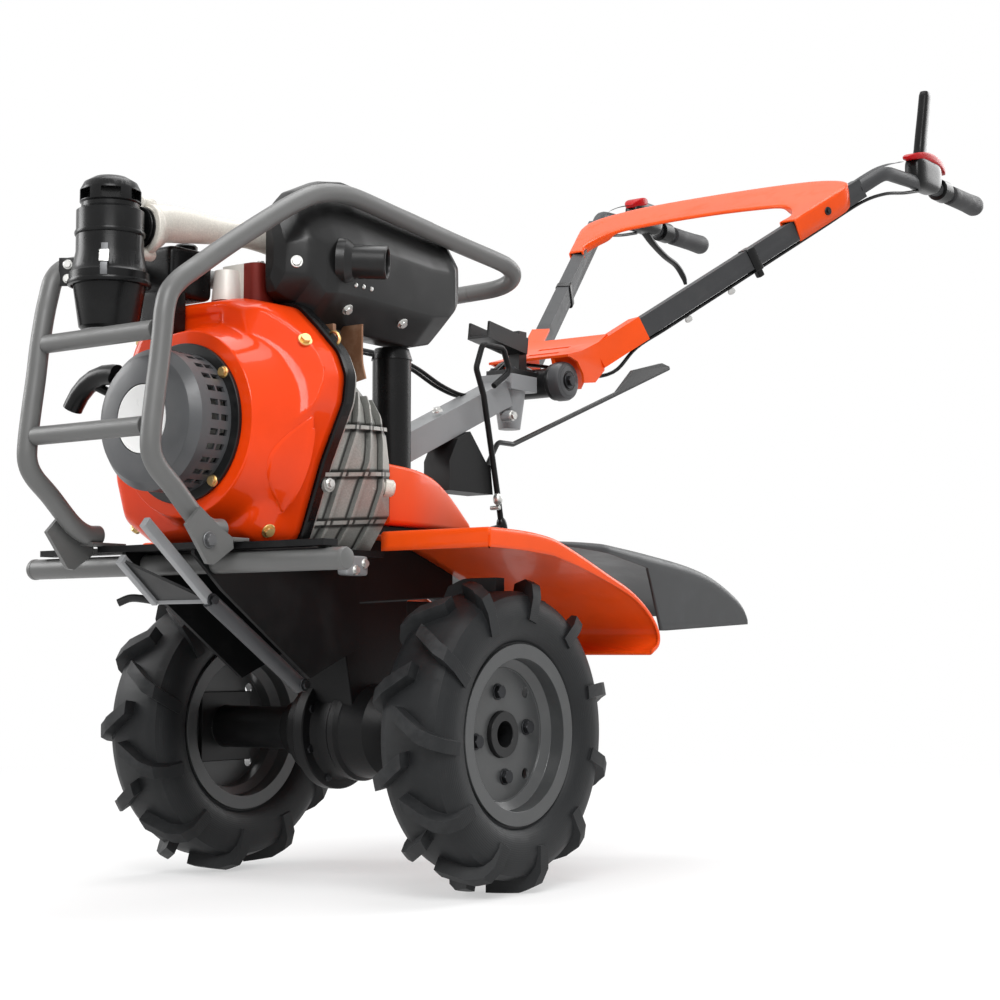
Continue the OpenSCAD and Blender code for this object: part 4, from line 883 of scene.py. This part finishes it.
def fender_sheet():
    """Sheet carried along one smooth line from the flat front over the wheel to the curl behind, notched beside the
    engine; front and outer edges turn down in a quarter circle."""
    top, outer, roll, notch = 470.0, 314.0, 5.0, 46.1
    line = curve([(-104, top), (-70, 469.6), (-30, 468.6), (0, 466.6), (34, 462.4), (60, 456), (107, 440.6),
                  (170, 418.4), (212, 403.6), (240, 391), (264, 376.6), (284, 360.4), (297, 344), (300.4, 330),
                  (295, 317.6), (278, 308)], 96)
    along = unit(np.gradient(line, axis=0))
    base = np.concatenate([[0.0], np.cumsum(np.linalg.norm(np.diff(line, axis=0), axis=1))])
    run = np.sort(np.concatenate([base, [notch - 0.1, notch + 0.1]]))
    line, along = (np.stack([np.interp(run, base, c) for c in part.T], -1) for part in (line, along))
    lip = np.interp(run, [0, 104, 165, 215, 281, 354, 420, 560], [24, 24, 20.4, 14.9, 10, 7, 6, 6])[:, None]
    bend = np.linspace(0.0, np.pi / 2, 6)[1:]
    inner = np.where(run < notch, 138.0, 58.4)[:, None]
    rows = lambda values: np.broadcast_to(values, (len(run), len(values)))
    x = np.concatenate([inner + (outer - roll - inner) * np.linspace(0.0, 1.0, 14),
                        rows(outer - roll + roll * np.sin(bend)), rows(np.full(4, outer))], axis=1)
    drop = np.concatenate([rows(np.zeros(14)), rows(roll * (1 - np.cos(bend))),
                           roll + np.maximum(lip - roll, 0.6) * np.array([0.25, 0.5, 0.75, 1.0])], axis=1) + 2.0
    y = line[:, :1] + along[:, 1:] * drop
    z = line[:, 1:] - along[:, :1] * drop
    grid = np.stack([x, y, z], -1)
    front = np.repeat(grid[:1], 7, axis=0)
    fall = np.array([26.0, 18.0, 11.0, 7.0, 4.2, 2.9, 2.2])[:, None]
    front[..., 1] += np.array([0.0, 0.0, 0.0, 0.0, 0.5, 1.6, 3.0])[:, None]
    front[..., 2] = top - np.maximum(fall, drop[:1])
    return np.concatenate([front, grid[2:]])


for kind, grid, finish in (("flap", flap_sheet(), "flap"), ("fender", fender_sheet(), "orange")):
    for side, name in SIDES.items():
        piece(f"{name}_{kind}_sheet", sheet(grid), finish, sharp=60.0, side=side, thick=(4.0, 0.0),
              stands_for=f"{name}_{kind}")

# Head, column and selector
TILT = np.array([0.0, 426.0, 733.0])
bolts("tilt_knob_bolts", [(TILT + s * 70.6 * LEFT, s * LEFT) for s in SIDES], 8.4, "black_bolt", collar=1.5)
knob = [(16, 0.6), (29.0, 0.6), (30.6, 2.4), (30.6, 15.0), (28.4, 19.6), (22.0, 21.8), (16, 21.8)]
rim = [(24, -0.2), (28.2, -0.2), (28.8, 0.6), (28.8, 5.4), (28.2, 6.2), (24, 6.2)]
knobs, rims = (joined([lathe(profile, TILT + s * x * LEFT, s * LEFT, 48, loop=True) for s in SIDES])
               for profile, x in ((knob, 48.8), (rim, 42.5)))
piece("tilt_knob_caps", knobs, "dark_grey", slot="black_plastic")
piece("yoke_ear_rims", rims, "black_metal", "handlebar")
arm = [(4, 0), (8.6, 0.4), (8.6, 16), (7, 17)]
piece("column_boss", lathe(arm, (14, 330, 672), LEFT), "light_grey")
bolts("column_bolts", [((31, 330, 672), LEFT), ((14, 168, 664), (0, -0.4, 0.92))], 6.6, "zinc", collar=1.2)
bolts("head_bolts", [((x, y, 746.4), UP) for x in (-19, 19) for y in (348, 408)], 4.4, "black_bolt")
pin = [(2, 0), (3.4, 0.5), (3.4, 16), (2, 17)]
piece("selector_pin", joined([shell(pod((38, 284, 541), (7, 7, 9), (0.9, 0.9))), lathe(pin, (26, 283, 528), LEFT, 16)]),
      "zinc", slot=None)
piece("selector_tip", shell(pod((35, 299, 498), (8, 8, 17), (0.8, 0.9), axes((0, 0.22, -1)))), "black_plastic",
      slot=None)


# Control cables under the handle tubes, which go in through the yoke and on to the engine head
def cable(name, side, rows):
    """Round sheath along a smooth line."""
    line = curve(np.array(rows, float) * FLIP[side], 150)
    made = piece(name, rod(line, circle(3.0, 10), near=LEFT), "black_plastic", None, None)
    path = spots(line)
    spot(0, 404, 766)
    spot(0, 500, 764)
    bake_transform(made)


under = [tuple(tube_at(s, 2.0, -22.0)) for s in (640, 540, 440, 340, 240, 150, 80)]
run_in = [(303, 1206, 1148), (302, 1150, 1134), (296, 1082, 1120)] + under + [(76, 552, 764)]
cable("left_cable", 1, run_in + [
    (54, 524, 752), (30, 496, 756), (2, 466, 765), (-14, 430, 766), (-22, 392, 766), (-22, 350, 736), (-18, 311, 712),
    (-16, 271, 701), (-14, 215, 709), (-12, 153, 728), (-8, 100, 736), (-4, 40, 738), (-2, -62, 738)])
cable("right_cable", -1, run_in + [
    (56, 524, 752), (40, 498, 755), (33, 466, 763), (32, 430, 765), (34, 392, 765), (32, 350, 735), (28, 311, 711),
    (26, 271, 700), (24, 215, 708), (22, 153, 727), (19, 100, 735), (16, 40, 737), (14, -62, 737)])


# Stage: pale floor that fades to the white of the background, soft lamps, and the photo's camera
def seen_directly(tree):
    """1 for rays from the camera, off mirrors and through glass, 0 for the rays that light the object."""
    path = tree.nodes.new("ShaderNodeLightPath")
    most = path.outputs["Is Camera Ray"]
    for name in ("Is Glossy Ray", "Is Transmission Ray"):
        pick = tree.nodes.new("ShaderNodeMath")
        pick.operation = "MAXIMUM"
        tree.links.new(most, pick.inputs[0])
        tree.links.new(path.outputs[name], pick.inputs[1])
        most = pick.outputs[0]
    return most


def stage_floor():
    """Flat square grid round the machine on the ground."""
    side = np.linspace(-30.0, 30.0, 31)
    x, y = np.meshgrid(side, side, indexing="ij")
    verts = np.stack([x, y, np.full_like(x, -0.0006)], -1).reshape(-1, 3)
    mesh = bpy.data.meshes.new("floor")
    mesh.from_pydata(verts.tolist(), [], quads(31, 31).tolist())
    floor = bpy.data.objects.new("floor", mesh)
    bpy.context.scene.collection.objects.link(floor)
    f = Finish("pale_floor", (0.86, 0.86, 0.86), 0.9)
    x, y = f.part("x"), f.part("y")
    far = (x * x + y * y) ** 0.5
    fade = (far.step(0.7, 2.6) * 0.5 + 0.5) * Sock(f, seen_directly(f.tree))
    light = f.node("ShaderNodeEmission")
    f.put(f.end.inputs[0], f.node("ShaderNodeMixShader", None, {0: fade, 1: Sock(f, f.shader.outputs[0]), 2: light}))
    mesh.materials.append(f.material)


def lamp(name, where, aim, size, watts):
    """Soft square lamp at where, turned to aim."""
    data = bpy.data.lights.new(name, "AREA")
    data.shape, data.size, data.energy = "SQUARE", size, watts
    made = bpy.data.objects.new(name, data)
    made.location = where
    toward = Vector(aim) - Vector(where)
    made.rotation_euler = toward.to_track_quat("-Z", "Y").to_euler()
    bpy.context.scene.collection.objects.link(made)


def white_world():
    """Even sky: white to the camera, mirrors and glass, dimmer as a light."""
    world = bpy.data.worlds.new("studio")
    bpy.context.scene.world = world
    world.use_nodes = True
    tree = world.node_tree
    back = tree.nodes["Background"]
    level = tree.nodes.new("ShaderNodeMapRange")
    level.inputs["To Min"].default_value = 0.42
    level.inputs["To Max"].default_value = 1.0
    tree.links.new(seen_directly(tree), level.inputs["Value"])
    tree.links.new(level.outputs[0], back.inputs["Strength"])
    back.inputs["Color"].default_value = (1, 1, 1, 1)


stage_floor()
white_world()
lamp("key", (2.6, -3.4, 3.4), (0.0, -0.4, 0.6), 2.2, 170)
lamp("left_strip", (-3.4, -2.2, 2.2), (0.0, -0.5, 0.6), 1.8, 80)
lamp("top", (0.0, 0.4, 4.2), (0.0, 0.0, 0.5), 3.0, 110)
lamp("rear", (1.0, 4.2, 2.6), (0.0, 0.2, 0.7), 2.4, 80)

camera = bpy.data.objects.new("camera", bpy.data.cameras.new("camera"))
camera.data.sensor_width = 36.0
camera.data.lens = 71.18
camera.location = spot(1804.8, -2088.4, 311.3)
camera.rotation_euler = (math.radians(94.417), 0.0, math.radians(36.611))
bpy.context.scene.collection.objects.link(camera)
bpy.context.scene.camera = camera
bpy.context.scene.view_settings.view_transform = "Standard"
